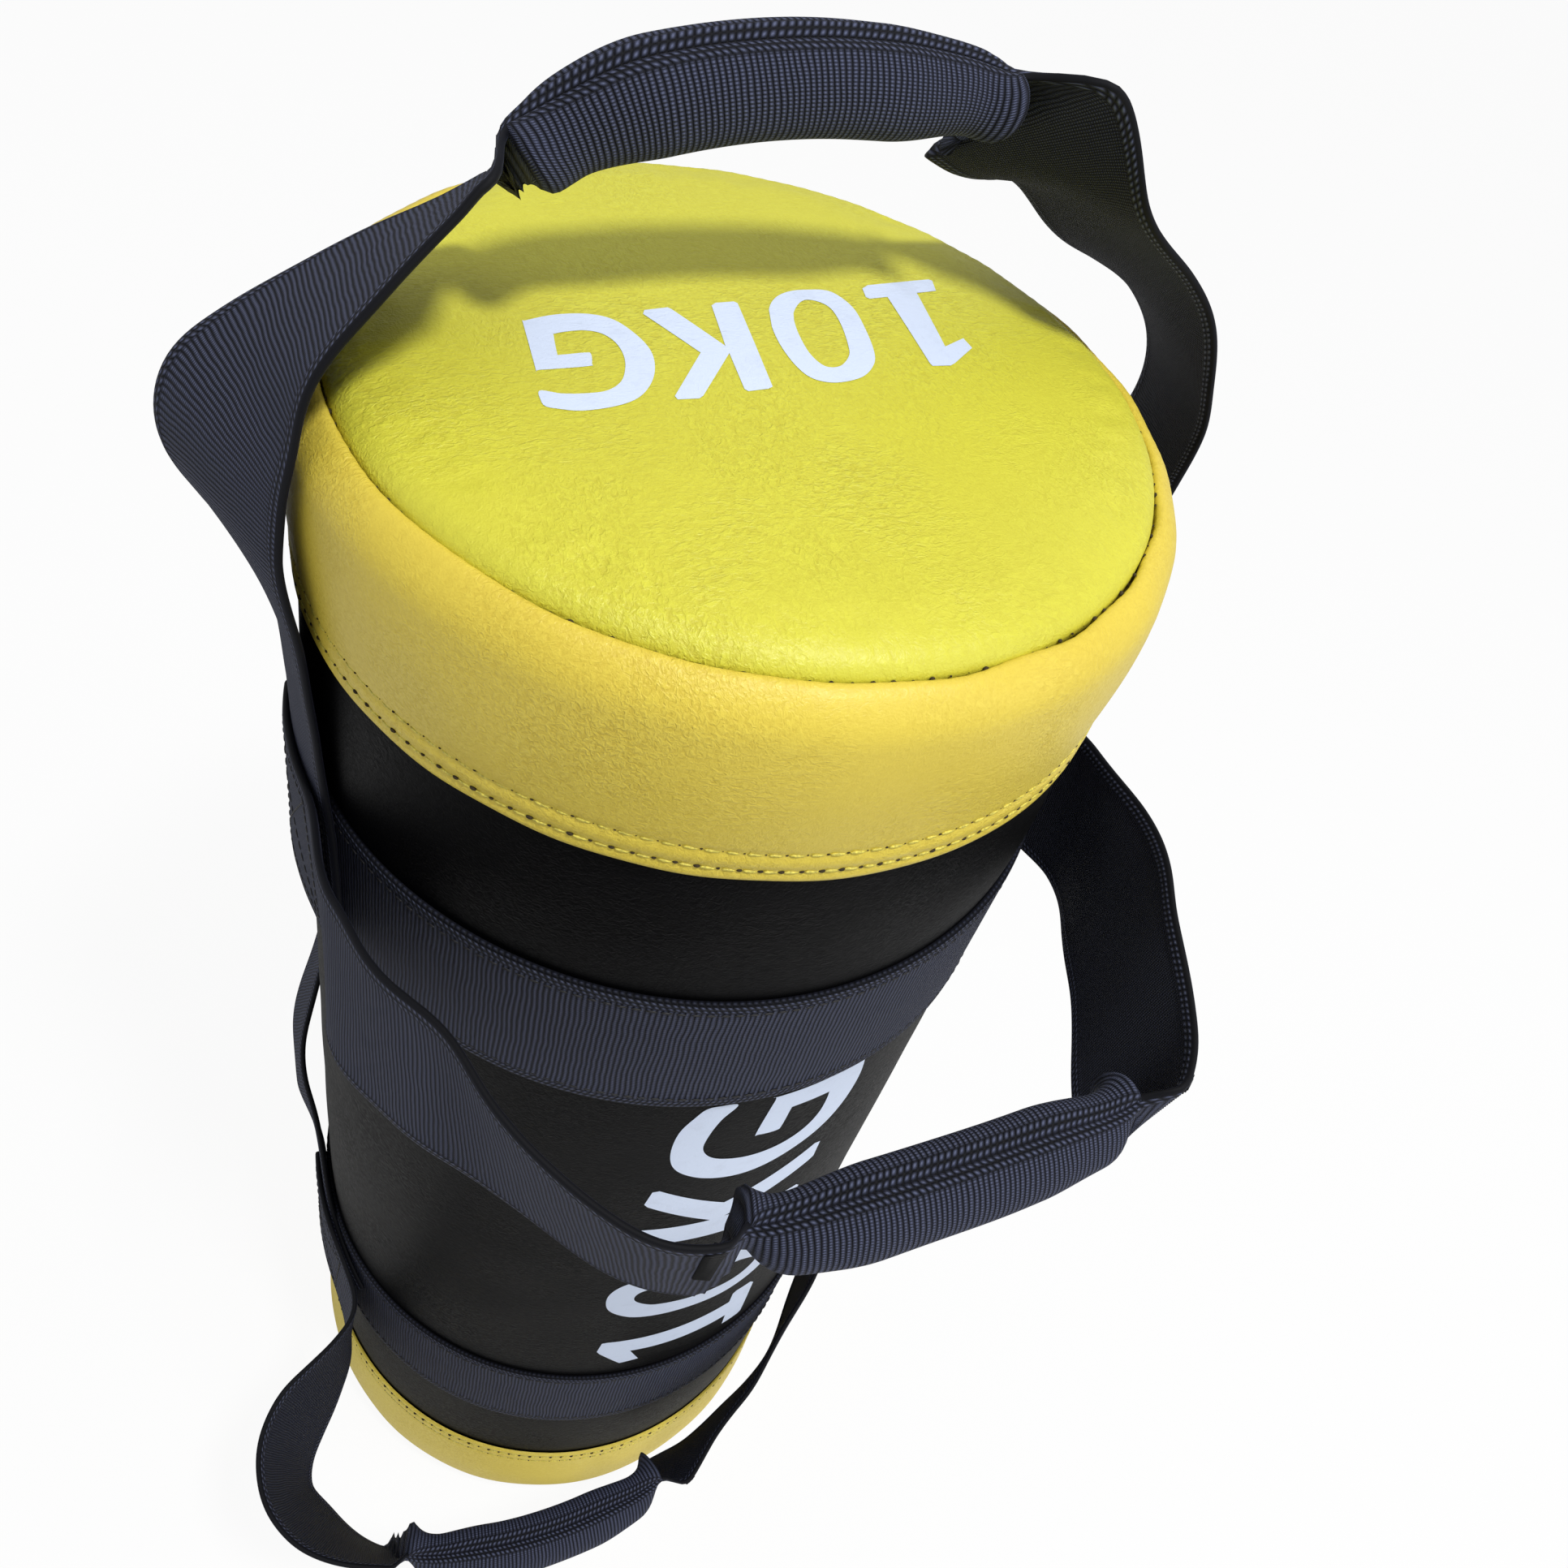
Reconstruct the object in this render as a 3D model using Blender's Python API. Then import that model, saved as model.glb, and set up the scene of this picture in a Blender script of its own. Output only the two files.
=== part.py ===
"""Training sandbag of about 10 kg: a stuffed leather cylinder with two webbing belts and four webbing handles.

The bag stands on its lower end with its axis on +Z and its front towards -Y. Each belt carries two handles,
one for the front and one for the rear, whose ends are sewn to the belt at the bag's left and right sides.
"""

import math

import bmesh
import bpy
import numpy as np

# Driving sizes of the bag, in metres
BAG_RADIUS = 0.102
CAP_BAND_HEIGHT = 0.053
BELT_SPACING = 0.050
BELT_WIDTH = 0.050
MIDDLE_HEIGHT = 0.220

# Leather cover and its seams
LEATHER = 0.0015
CLEARANCE = 0.0003
LAP = 0.012
SHOULDER_ROUND = 0.014
SEAM_SETBACK = 0.004
SEAM_ALLOWANCE = 0.009
SEAM_ROLL = 0.0022
DOME_RISE = 0.008
BOTTOM_SEAM_LIFT = 0.006
BASE_INSET = 0.013

# Filling
PADDING_WALL = 0.030
END_PAD_THICKNESS = 0.026
POUCH_WALL = 0.001
POUCH_NECK_RADIUS = 0.014
POUCH_NECK_HEIGHT = 0.020
POUCH_SHOULDER = 0.022
SAND_HEADROOM = 0.006
TIE_THICKNESS = 0.0022
TIE_HEIGHT = 0.0045

# Webbing, belts and handles
BELT_THICKNESS = 0.0015
STRAP_WIDTH = 0.050
STRAP_THICKNESS = 0.0018
SEWN_END = 0.024
GRIP_FULLNESS = 1.1
CORE_CLEARANCE = 0.0004
CORE_END_SHARE = 0.8

# How far each handle stands out from its hinge line, and how far it is raised from straight out, in degrees
TOP_FRONT_REACH = 0.160
TOP_REAR_REACH = 0.1895
BOTTOM_FRONT_REACH = 0.140
BOTTOM_REAR_REACH = 0.158
TOP_FRONT_RAISED = 10
TOP_REAR_RAISED = 95
BOTTOM_FRONT_RAISED = -10
BOTTOM_REAR_RAISED = 150

ROUND_STEPS = 40

# Levels up the bag
BOTTOM_SEAM = BOTTOM_SEAM_LIFT
BOTTOM_BAND_TOP = BOTTOM_SEAM + CAP_BAND_HEIGHT
LOWER_BELT_BOTTOM = BOTTOM_BAND_TOP + BELT_SPACING
LOWER_BELT_TOP = LOWER_BELT_BOTTOM + BELT_WIDTH
UPPER_BELT_BOTTOM = LOWER_BELT_TOP + MIDDLE_HEIGHT
UPPER_BELT_TOP = UPPER_BELT_BOTTOM + BELT_WIDTH
TOP_BAND_BOTTOM = UPPER_BELT_TOP + BELT_SPACING
TOP_SEAM = TOP_BAND_BOTTOM + CAP_BAND_HEIGHT
LOWER_HINGE = (LOWER_BELT_BOTTOM + LOWER_BELT_TOP) / 2
UPPER_HINGE = (UPPER_BELT_BOTTOM + UPPER_BELT_TOP) / 2

# Radii that follow from the sizes above
COVER_INNER = BAG_RADIUS - LEATHER
BAND_INNER = BAG_RADIUS + CLEARANCE
BAND_OUTER = BAND_INNER + LEATHER
SEAM_RADIUS = BAG_RADIUS - SEAM_SETBACK
PADDING_OUTER = COVER_INNER - CLEARANCE
PADDING_INNER = PADDING_OUTER - PADDING_WALL
POUCH_OUTER = PADDING_INNER - CLEARANCE
BELT_INNER = BAG_RADIUS + CLEARANCE
BELT_OUTER = BELT_INNER + BELT_THICKNESS
REAR_STRAP_SIDE = BELT_OUTER + CLEARANCE + STRAP_THICKNESS / 2
FRONT_STRAP_SIDE = REAR_STRAP_SIDE + STRAP_THICKNESS + CLEARANCE

# Routes of the handles, from the left sewn end to the right one. Each row holds the place to the side as a
# share of the sewn end's, the place outwards as a share of the handle's reach, how far the webbing leans
# about its own run in degrees, how far it is folded in half, and how far the fold is filled by the core.
TOP_FRONT_ROUTE_SHARES = (
    (-1.000, 0.000, 0, 0, 0),
    (-1.008, 0.138, 0, 0, 0),
    (-1.030, 0.275, 0, 0, 0),
    (-1.018, 0.412, -4, 0, 0),
    (-0.957, 0.544, 2, 0, 0),
    (-0.861, 0.662, 6, 0, 0),
    (-0.790, 0.762, 10, 0, 0),
    (-0.715, 0.842, 22, 0.12, 0),
    (-0.642, 0.902, 42, 0.45, 0),
    (-0.566, 0.945, 66, 0.85, 0),
    (-0.488, 0.969, 82, 1, 0),
    (-0.440, 0.979, 84, 1, 0.35),
    (-0.380, 0.988, 84, 1, 0.85),
    (-0.287, 0.994, 84, 1, 1),
    (-0.077, 1.000, 84, 1, 1),
    (0.153, 1.000, 84, 1, 1),
    (0.390, 0.997, 84, 1, 1),
    (0.478, 0.991, 84, 1, 0.85),
    (0.530, 0.983, 84, 1, 0.35),
    (0.580, 0.968, 82, 1, 0),
    (0.640, 0.928, 66, 0.85, 0),
    (0.688, 0.868, 42, 0.45, 0),
    (0.735, 0.802, 24, 0.12, 0),
    (0.785, 0.735, 16, 0, 0),
    (0.852, 0.650, 13, 0, 0),
    (0.928, 0.531, 7, 0, 0),
    (0.980, 0.400, 0, 0, 0),
    (1.000, 0.262, 0, 0, 0),
    (1.004, 0.125, 0, 0, 0),
    (1.000, 0.000, 0, 0, 0),
)
TOP_REAR_ROUTE_SHARES = (
    (-1.000, 0.000, 0, 0, 0),
    (-1.000, 0.148, 0, 0, 0),
    (-1.000, 0.286, 0, 0, 0),
    (-1.020, 0.380, 0, 0, 0),
    (-1.060, 0.459, 5, 0, 0),
    (-1.105, 0.533, 11, 0, 0),
    (-1.125, 0.609, 14, 0, 0),
    (-1.085, 0.685, 14, 0, 0),
    (-0.985, 0.746, 12, 0, 0),
    (-0.885, 0.779, 10, 0, 0),
    (-0.785, 0.804, 6, 0.12, 0),
    (-0.695, 0.842, 0, 0.45, 0),
    (-0.612, 0.879, -8, 0.85, 0),
    (-0.530, 0.910, -14, 1, 0),
    (-0.480, 0.927, -17, 1, 0.35),
    (-0.420, 0.944, -18, 1, 0.85),
    (-0.325, 0.966, -18, 1, 1),
    (-0.125, 0.990, -18, 1, 1),
    (0.077, 1.000, -18, 1, 1),
    (0.280, 0.998, -18, 1, 1),
    (0.370, 0.996, -18, 1, 0.85),
    (0.425, 0.993, -18, 1, 0.35),
    (0.475, 0.986, -18, 1, 0),
    (0.555, 0.966, -18, 0.85, 0),
    (0.632, 0.940, -20, 0.45, 0),
    (0.715, 0.907, -22, 0.12, 0),
    (0.810, 0.867, -24, 0, 0),
    (0.933, 0.819, -22, 0, 0),
    (1.086, 0.762, -16, 0, 0),
    (1.219, 0.688, -8, 0, 0),
    (1.300, 0.596, 2, 0, 0),
    (1.318, 0.499, 12, 0, 0),
    (1.250, 0.399, 16, 0, 0),
    (1.120, 0.305, 8, 0, 0),
    (1.000, 0.226, 0, 0, 0),
    (1.000, 0.116, 0, 0, 0),
    (1.000, 0.000, 0, 0, 0),
)
BOTTOM_FRONT_ROUTE_SHARES = (
    (-1.000, 0.000, 0, 0, 0),
    (-1.000, 0.160, 0, 0, 0),
    (-1.004, 0.280, 0, 0, 0),
    (-1.050, 0.360, 8, 0, 0),
    (-1.130, 0.425, 15, 0, 0),
    (-1.220, 0.488, 21, 0, 0),
    (-1.285, 0.565, 24, 0, 0),
    (-1.300, 0.660, 22, 0, 0),
    (-1.248, 0.745, 24, 0.12, 0),
    (-1.182, 0.808, 36, 0.45, 0),
    (-1.110, 0.855, 54, 0.85, 0),
    (-1.035, 0.890, 66, 1, 0),
    (-0.985, 0.908, 68, 1, 0.35),
    (-0.925, 0.927, 70, 1, 0.85),
    (-0.840, 0.948, 70, 1, 1),
    (-0.640, 0.980, 70, 1, 1),
    (-0.420, 0.994, 70, 1, 1),
    (-0.180, 0.985, 70, 1, 1),
    (-0.090, 0.972, 70, 1, 0.85),
    (-0.035, 0.962, 68, 1, 0.35),
    (0.015, 0.949, 62, 1, 0),
    (0.085, 0.926, 42, 0.85, 0),
    (0.155, 0.902, 22, 0.45, 0),
    (0.230, 0.873, 8, 0.12, 0),
    (0.320, 0.838, 0, 0, 0),
    (0.440, 0.785, -4, 0, 0),
    (0.588, 0.705, -6, 0, 0),
    (0.735, 0.600, -6, 0, 0),
    (0.870, 0.480, -4, 0, 0),
    (0.955, 0.375, 0, 0, 0),
    (1.000, 0.275, 0, 0, 0),
    (1.000, 0.135, 0, 0, 0),
    (1.000, 0.000, 0, 0, 0),
)
BOTTOM_REAR_ROUTE_SHARES = (
    (-1.000, 0.000, 0, 0, 0),
    (-1.000, 0.139, 0, 0, 0),
    (-1.000, 0.278, 0, 0, 0),
    (-1.000, 0.405, 0, 0, 0),
    (-0.970, 0.519, 0, 0, 0),
    (-0.900, 0.633, 4, 0, 0),
    (-0.812, 0.735, 10, 0, 0),
    (-0.740, 0.815, 22, 0.12, 0),
    (-0.668, 0.878, 42, 0.45, 0),
    (-0.592, 0.926, 66, 0.85, 0),
    (-0.510, 0.958, 82, 1, 0),
    (-0.460, 0.970, 84, 1, 0.35),
    (-0.400, 0.982, 84, 1, 0.85),
    (-0.310, 0.994, 84, 1, 1),
    (0.000, 1.000, 84, 1, 1),
    (0.310, 0.994, 84, 1, 1),
    (0.400, 0.982, 84, 1, 0.85),
    (0.460, 0.970, 84, 1, 0.35),
    (0.510, 0.958, 82, 1, 0),
    (0.592, 0.926, 66, 0.85, 0),
    (0.668, 0.878, 42, 0.45, 0),
    (0.740, 0.815, 22, 0.12, 0),
    (0.812, 0.735, 10, 0, 0),
    (0.900, 0.633, 4, 0, 0),
    (0.970, 0.519, 0, 0, 0),
    (1.000, 0.405, 0, 0, 0),
    (1.000, 0.278, 0, 0, 0),
    (1.000, 0.139, 0, 0, 0),
    (1.000, 0.000, 0, 0, 0),
)

# Directions of the equal steps across half the webbing, from the fold line to the selvedge, in degrees
FOLDED_TURN = (74, 90, 90, 90, 90, 90)
FILLED_TURN = (18, 58, 84, 96, 118, 150)

YELLOW = (0.690, 0.720, 0.050)
YELLOW_SIDE = (0.640, 0.540, 0.070)
BLACK = (0.007, 0.007, 0.008)
NAVY = (0.010, 0.011, 0.022)


def clear_scene():
    for old in list(bpy.data.objects):
        bpy.data.objects.remove(old, do_unlink=True)


def material(name, colour, roughness, metallic=0.0):
    made = bpy.data.materials.new(name)
    made.use_nodes = True
    shader = made.node_tree.nodes["Principled BSDF"]
    shader.inputs["Base Color"].default_value = (*colour, 1.0)
    shader.inputs["Roughness"].default_value = roughness
    shader.inputs["Metallic"].default_value = metallic
    return made


def add_object(name, verts, faces, finish, sharp_degrees=40, parent=None):
    """A mesh object made of these points and faces, smooth but for its sharp edges, pointing outwards."""
    mesh = bpy.data.meshes.new(name)
    mesh.from_pydata([tuple(v) for v in verts], [], [tuple(f) for f in faces])
    form = bmesh.new()
    form.from_mesh(mesh)
    bmesh.ops.recalc_face_normals(form, faces=form.faces)
    form.to_mesh(mesh)
    form.free()
    mesh.shade_smooth()
    mesh.set_sharp_from_angle(angle=math.radians(sharp_degrees))
    mesh.materials.append(finish)
    made = bpy.data.objects.new(name, mesh)
    made.parent = parent
    bpy.context.scene.collection.objects.link(made)
    return made


def turned(name, profile, finish, sharp_degrees=40):
    """A solid turned about Z from a closed outline of (radius, height); points on the axis become poles."""
    steps = ROUND_STEPS
    verts = []
    rings = []
    for radius, height in profile:
        if radius == 0:
            rings.append([len(verts)] * steps)
            verts.append((0, 0, height))
            continue
        first = len(verts)
        rings.append(list(range(first, first + steps)))
        for step in range(steps):
            angle = math.tau * step / steps
            verts.append((radius * math.cos(angle), radius * math.sin(angle), height))
    faces = []
    for low, high in zip(rings, rings[1:] + rings[:1]):
        for step in range(steps):
            after = (step + 1) % steps
            corners = (low[step], low[after], high[after], high[step])
            face = list(dict.fromkeys(corners))
            if len(face) > 2:
                faces.append(face)
    return add_object(name, verts, faces, finish, sharp_degrees)


def arc(centre, radius, start_degrees, end_degrees, steps):
    """Points along an arc in the (radius, height) plane of a turned outline."""
    angles = np.radians(np.linspace(start_degrees, end_degrees, steps))
    return [(centre[0] + radius * math.cos(a), centre[1] + radius * math.sin(a)) for a in angles]


def shifted_along(path, distance):
    """The path moved to its left by a distance, point by point."""
    points = np.array(path)
    run = np.gradient(points, axis=0)
    run /= np.linalg.norm(run, axis=1)[:, None]
    left = np.stack([-run[:, 1], run[:, 0]], axis=1)
    return points + left * distance


def thick_outline(path, thickness):
    """A closed outline of this thickness round an open path."""
    outside = shifted_along(path, thickness / 2)
    inside = shifted_along(path, -thickness / 2)
    return [tuple(p) for p in outside] + [tuple(p) for p in inside[::-1]]


def band_path():
    """Middle line of a cap band, from its lapped edge up its side and over the shoulder to the turned seam."""
    side = BAND_OUTER - LEATHER / 2
    seam = SEAM_RADIUS - LEATHER / 2
    path = [(side, height) for height in (0, LAP, CAP_BAND_HEIGHT - SHOULDER_ROUND)]
    drop = side - seam - SEAM_ROLL
    for share in (0.4, 0.75):
        path.append((side - drop * share**2, CAP_BAND_HEIGHT - SHOULDER_ROUND * (1 - share)))
    crown = arc((seam, CAP_BAND_HEIGHT - SEAM_ROLL), SEAM_ROLL, 40, 180, 4)
    path += crown
    path.append((crown[-1][0], CAP_BAND_HEIGHT - SEAM_ALLOWANCE))
    return path


def disc_path(rise):
    """Middle line of an end disc, from its turned edge over the seam and across the dome to the axis."""
    seam = SEAM_RADIUS - LEATHER / 2 - SEAM_ROLL - LEATHER - CLEARANCE
    crown = arc((seam - SEAM_ROLL, -SEAM_ROLL), SEAM_ROLL, 0, 75, 3)
    path = [(seam, -SEAM_ALLOWANCE)] + crown
    start = crown[-1]
    for share in (0.86, 0.68, 0.46, 0.22):
        height = start[1] + (rise - start[1]) * (1 - share**2) ** 0.8
        path.append((start[0] * share, height))
    return path


def closed_disc(path, rise, thickness):
    """Outline of an end disc, closed on the axis."""
    outside = [tuple(p) for p in shifted_along(path, -thickness / 2)]
    inside = [tuple(p) for p in shifted_along(path, thickness / 2)]
    return outside + [(0, rise + thickness / 2), (0, rise - thickness / 2)] + inside[::-1]


def upright(outline, level):
    return [(radius, level + height) for radius, height in outline]


def upside_down(outline, level):
    return [(radius, level - height) for radius, height in outline]


def build_cover(black, yellow, yellow_side):
    """The black body, the two yellow cap bands lapped over it and the two end discs."""
    low = BOTTOM_BAND_TOP - LAP
    high = TOP_BAND_BOTTOM + LAP
    edge = LEATHER / 3
    wall = [(COVER_INNER, low), (COVER_INNER, high), (BAG_RADIUS - edge, high), (BAG_RADIUS, high - edge)]
    wall += [(BAG_RADIUS, low + edge), (BAG_RADIUS - edge, low)]
    turned("body_cover", wall, black)

    band = thick_outline(band_path(), LEATHER)
    turned("top_cap_band", upright(band, TOP_BAND_BOTTOM), yellow_side, sharp_degrees=60)
    turned("bottom_cap_band", upside_down(band, BOTTOM_BAND_TOP), yellow_side, sharp_degrees=60)

    top = closed_disc(disc_path(DOME_RISE - LEATHER / 2), DOME_RISE - LEATHER / 2, LEATHER)
    turned("top_end_disc", upright(top, TOP_SEAM), yellow, sharp_degrees=60)
    base = BOTTOM_SEAM - LEATHER / 2
    flat_path = disc_path(base)[:4]
    crown_radius, crown_height = flat_path[-1]
    for share in (0.35, 0.7, 0.92):
        fall = (base - crown_height) * math.sin(math.pi / 2 * share)
        flat_path.append((crown_radius - BASE_INSET * share, crown_height + fall))
    flat_radius = crown_radius - BASE_INSET
    flat_path += [(flat_radius, base), (flat_radius / 2, base)]
    bottom = closed_disc(flat_path, base, LEATHER)
    turned("bottom_end_disc", upside_down(bottom, BOTTOM_SEAM), yellow, sharp_degrees=60)


def build_filling(foam, cloth, sand, nylon):
    """Padding sleeve and end pads, and the tied pouch of sand between them."""
    pad_top = TOP_SEAM - SEAM_ALLOWANCE - CLEARANCE
    pad_low = BOTTOM_SEAM + SEAM_ALLOWANCE + CLEARANCE
    neck_top = pad_top - END_PAD_THICKNESS - CLEARANCE
    floor = pad_low + END_PAD_THICKNESS + CLEARANCE
    sleeve = [(PADDING_INNER, floor), (PADDING_OUTER, floor), (PADDING_OUTER, neck_top), (PADDING_INNER, neck_top)]
    turned("padding_sleeve", sleeve, foam)

    flange = SEAM_RADIUS - SEAM_ROLL * 2 - LEATHER * 3 - CLEARANCE * 2
    top_pad = [(0, neck_top + CLEARANCE), (PADDING_OUTER, neck_top + CLEARANCE), (PADDING_OUTER, pad_top)]
    top_pad += [(flange, pad_top)]
    under = shifted_along(disc_path(DOME_RISE - LEATHER / 2), LEATHER / 2 + CLEARANCE)
    ceiling = DOME_RISE - LEATHER - CLEARANCE
    dome = [(radius, TOP_SEAM + height) for radius, height in under[4:] if radius < flange]
    top_pad += dome + [(0, TOP_SEAM + ceiling)]
    turned("top_end_pad", top_pad, foam)

    base = LEATHER + CLEARANCE
    inset = flange - BASE_INSET
    bottom_pad = [(0, base), (inset, base), (flange, BOTTOM_SEAM), (flange, pad_low), (PADDING_OUTER, pad_low)]
    bottom_pad += [(PADDING_OUTER, floor - CLEARANCE), (0, floor - CLEARANCE)]
    turned("bottom_end_pad", bottom_pad, foam)

    shoulder = neck_top - POUCH_NECK_HEIGHT - POUCH_SHOULDER - CLEARANCE
    neck = POUCH_NECK_RADIUS
    neck_end = neck_top - CLEARANCE
    wall = POUCH_WALL
    outer = [(0, floor), (POUCH_OUTER, floor), (POUCH_OUTER, shoulder), (neck, shoulder + POUCH_SHOULDER)]
    outer += [(neck, neck_end)]
    inner = [(neck - wall, neck_end), (neck - wall, shoulder + POUCH_SHOULDER - wall / 2)]
    inner += [(POUCH_OUTER - wall, shoulder - wall / 2), (POUCH_OUTER - wall, floor + wall), (0, floor + wall)]
    turned("sand_pouch", outer + inner, cloth)

    gap = wall + CLEARANCE
    top = shoulder - SAND_HEADROOM
    heap = POUCH_OUTER - gap
    fill = [(0, floor + gap), (heap, floor + gap), (heap, top), (heap / 2, top + SAND_HEADROOM / 2)]
    fill += [(0, top + SAND_HEADROOM)]
    turned("sand_fill", fill, sand)

    inside = neck + CLEARANCE
    low = shoulder + POUCH_SHOULDER + POUCH_NECK_HEIGHT / 2 - TIE_HEIGHT / 2
    high = low + TIE_HEIGHT
    outside = inside + TIE_THICKNESS
    turned("pouch_tie", [(inside, low), (outside, low), (outside, high), (inside, high)], nylon)


def build_belt(name, low, webbing):
    """A webbing belt round the cover, with soft selvedges."""
    high = low + BELT_WIDTH
    edge = BELT_THICKNESS / 3
    outline = [(BELT_INNER, low), (BELT_OUTER - edge, low), (BELT_OUTER, low + edge)]
    outline += [(BELT_OUTER, high - edge), (BELT_OUTER - edge, high), (BELT_INNER, high)]
    turned(name, outline, webbing)


def half_width_points(width, fold, fill):
    """Middle line of half the webbing, from the fold to the selvedge, for a fold and a filling of 0 to 1."""
    turns = np.radians((1 - fill) * fold * np.array(FOLDED_TURN) + fill * np.array(FILLED_TURN))
    steps = np.stack([np.cos(turns), np.sin(turns)], axis=1) * width / 2 / len(turns)
    return np.vstack([np.zeros(2), np.cumsum(steps, axis=0)])


def strap_middle_line(fold, fill):
    """Middle line across the whole webbing, centred on the band that it shows."""
    width = STRAP_WIDTH * (1 + (GRIP_FULLNESS - 1) * fill)
    half = half_width_points(width, fold, fill)
    half[:, 1] -= half[:, 1].max() / 2
    other = half[:0:-1] * np.array([-1, 1])
    return np.vstack([other, half])


def handle_frames(route, side, reach):
    """Places and directions along a handle, in the plane of its loop: to the side, outwards and across it."""
    rows = np.array(route, dtype=float)
    places = np.stack([rows[:, 0] * side, rows[:, 1] * reach, np.zeros(len(rows))], axis=1)
    ends = [places[0] - np.array([0, SEWN_END, 0]), places[-1] - np.array([0, SEWN_END, 0])]
    places = np.vstack([ends[0], places, ends[1]])
    rows = np.vstack([rows[0], rows, rows[-1]])
    runs = np.gradient(places, axis=0)
    runs /= np.linalg.norm(runs, axis=1)[:, None]
    frames = []
    for place, run, row in zip(places, runs, rows):
        lean = math.radians(row[2])
        across = np.array([0, 0, 1.0])
        outward = np.array([-run[1], run[0], 0])
        width_way = math.cos(lean) * across + math.sin(lean) * outward
        inner_way = -math.cos(lean) * outward + math.sin(lean) * across
        frames.append((place, width_way, inner_way, row[3], row[4]))
    return frames


def swept(sections):
    """Points and side faces of a solid through a row of like outlines, and the points in each outline."""
    count = len(sections[0])
    verts = [point for section in sections for point in section]
    faces = []
    for ring in range(len(sections) - 1):
        for index in range(count):
            after = (index + 1) % count
            low = ring * count
            high = low + count
            faces.append((low + index, low + after, high + after, high + index))
    return verts, faces, count


def strap_caps(count, rings):
    """Quads that close both ends of a folded strip, each joining the two sides of the webbing."""
    faces = []
    across = count // 2
    last = (rings - 1) * count
    for index in range(across - 1):
        quad = (index, index + 1, count - 2 - index, count - 1 - index)
        faces.append(quad)
        faces.append(tuple(last + corner for corner in quad))
    return faces


def build_handle(name, route, side, reach, raised, hinge_level, fold_side, webbing, foam):
    """One handle: webbing with the folded grip, and the core inside the fold, on an empty at the hinge line."""
    hinge = bpy.data.objects.new(name + "_hinge", None)
    hinge.location = (0, 0, hinge_level)
    hinge.rotation_euler = (-math.radians(raised), 0, 0)
    bpy.context.scene.collection.objects.link(hinge)

    frames = handle_frames(route, side, reach)
    sections = []
    core_sections = []
    for place, width_way, inner_way, fold, fill in frames:
        line = strap_middle_line(fold, fill)
        upper = shifted_along(line, STRAP_THICKNESS / 2)
        lower = shifted_along(line, -STRAP_THICKNESS / 2)
        ring = np.vstack([upper, lower[::-1]])
        sections.append([in_loop_plane(place, width_way, inner_way * fold_side, p) for p in ring])
        if fill > 0.99:
            inset = shifted_along(line, STRAP_THICKNESS / 2 + CORE_CLEARANCE)
            core_sections.append((place, width_way, inner_way * fold_side, inset[1:-1]))
    verts, faces, count = swept(sections)
    faces += strap_caps(count, len(sections))
    add_object(name + "_strap", verts, faces, webbing, 50, hinge)
    build_core(name + "_core", core_sections, foam, hinge)


def in_loop_plane(place, width_way, inner_way, point):
    """A point of a section, placed in the loop's own axes: X to the side, -Y outwards and Z across the loop."""
    spot = place + width_way * point[0] + inner_way * point[1]
    return (spot[0], -spot[1], spot[2])


def build_core(name, sections, foam, hinge):
    """The foam core that fills the grip, with shrunken ends."""
    rings = []
    for index, (place, width_way, inner_way, outline) in enumerate(sections):
        centre = outline.mean(axis=0)
        at_end = index in (0, len(sections) - 1)
        scale = CORE_END_SHARE if at_end else 1
        shaped = centre + (outline - centre) * scale
        rings.append([in_loop_plane(place, width_way, inner_way, p) for p in shaped])
    verts, faces, count = swept(rings)
    faces.append(tuple(range(count)))
    last = (len(rings) - 1) * count
    faces.append(tuple(range(last, last + count)))
    add_object(name, verts, faces, foam, 50, hinge)


def main():
    clear_scene()
    black = material("Black faux leather", BLACK, 0.45)
    yellow = material("Yellow faux leather, discs", YELLOW, 0.42)
    yellow_side = material("Yellow faux leather, bands", YELLOW_SIDE, 0.42)
    webbing = material("Navy webbing", NAVY, 0.8)
    foam = material("Grey foam", (0.35, 0.35, 0.36), 0.9)
    cloth = material("White pouch cloth", (0.6, 0.6, 0.57), 0.8)
    sand = material("Dry sand", (0.45, 0.33, 0.19), 0.95)
    nylon = material("Nylon tie", (0.8, 0.8, 0.8), 0.4)

    build_cover(black, yellow, yellow_side)
    build_filling(foam, cloth, sand, nylon)
    build_belt("upper_belt", UPPER_BELT_BOTTOM, webbing)
    build_belt("lower_belt", LOWER_BELT_BOTTOM, webbing)
    front_side = FRONT_STRAP_SIDE
    rear_side = REAR_STRAP_SIDE
    top_front = (TOP_FRONT_ROUTE_SHARES, front_side, TOP_FRONT_REACH, TOP_FRONT_RAISED, UPPER_HINGE, 1)
    top_rear = (TOP_REAR_ROUTE_SHARES, rear_side, TOP_REAR_REACH, TOP_REAR_RAISED, UPPER_HINGE, -1)
    low_front = (BOTTOM_FRONT_ROUTE_SHARES, front_side, BOTTOM_FRONT_REACH, BOTTOM_FRONT_RAISED, LOWER_HINGE, 1)
    low_rear = (BOTTOM_REAR_ROUTE_SHARES, rear_side, BOTTOM_REAR_REACH, BOTTOM_REAR_RAISED, LOWER_HINGE, 1)
    build_handle("top_front_handle", *top_front, webbing, foam)
    build_handle("top_rear_handle", *top_rear, webbing, foam)
    build_handle("bottom_front_handle", *low_front, webbing, foam)
    build_handle("bottom_rear_handle", *low_rear, webbing, foam)


main()
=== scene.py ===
import math

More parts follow.
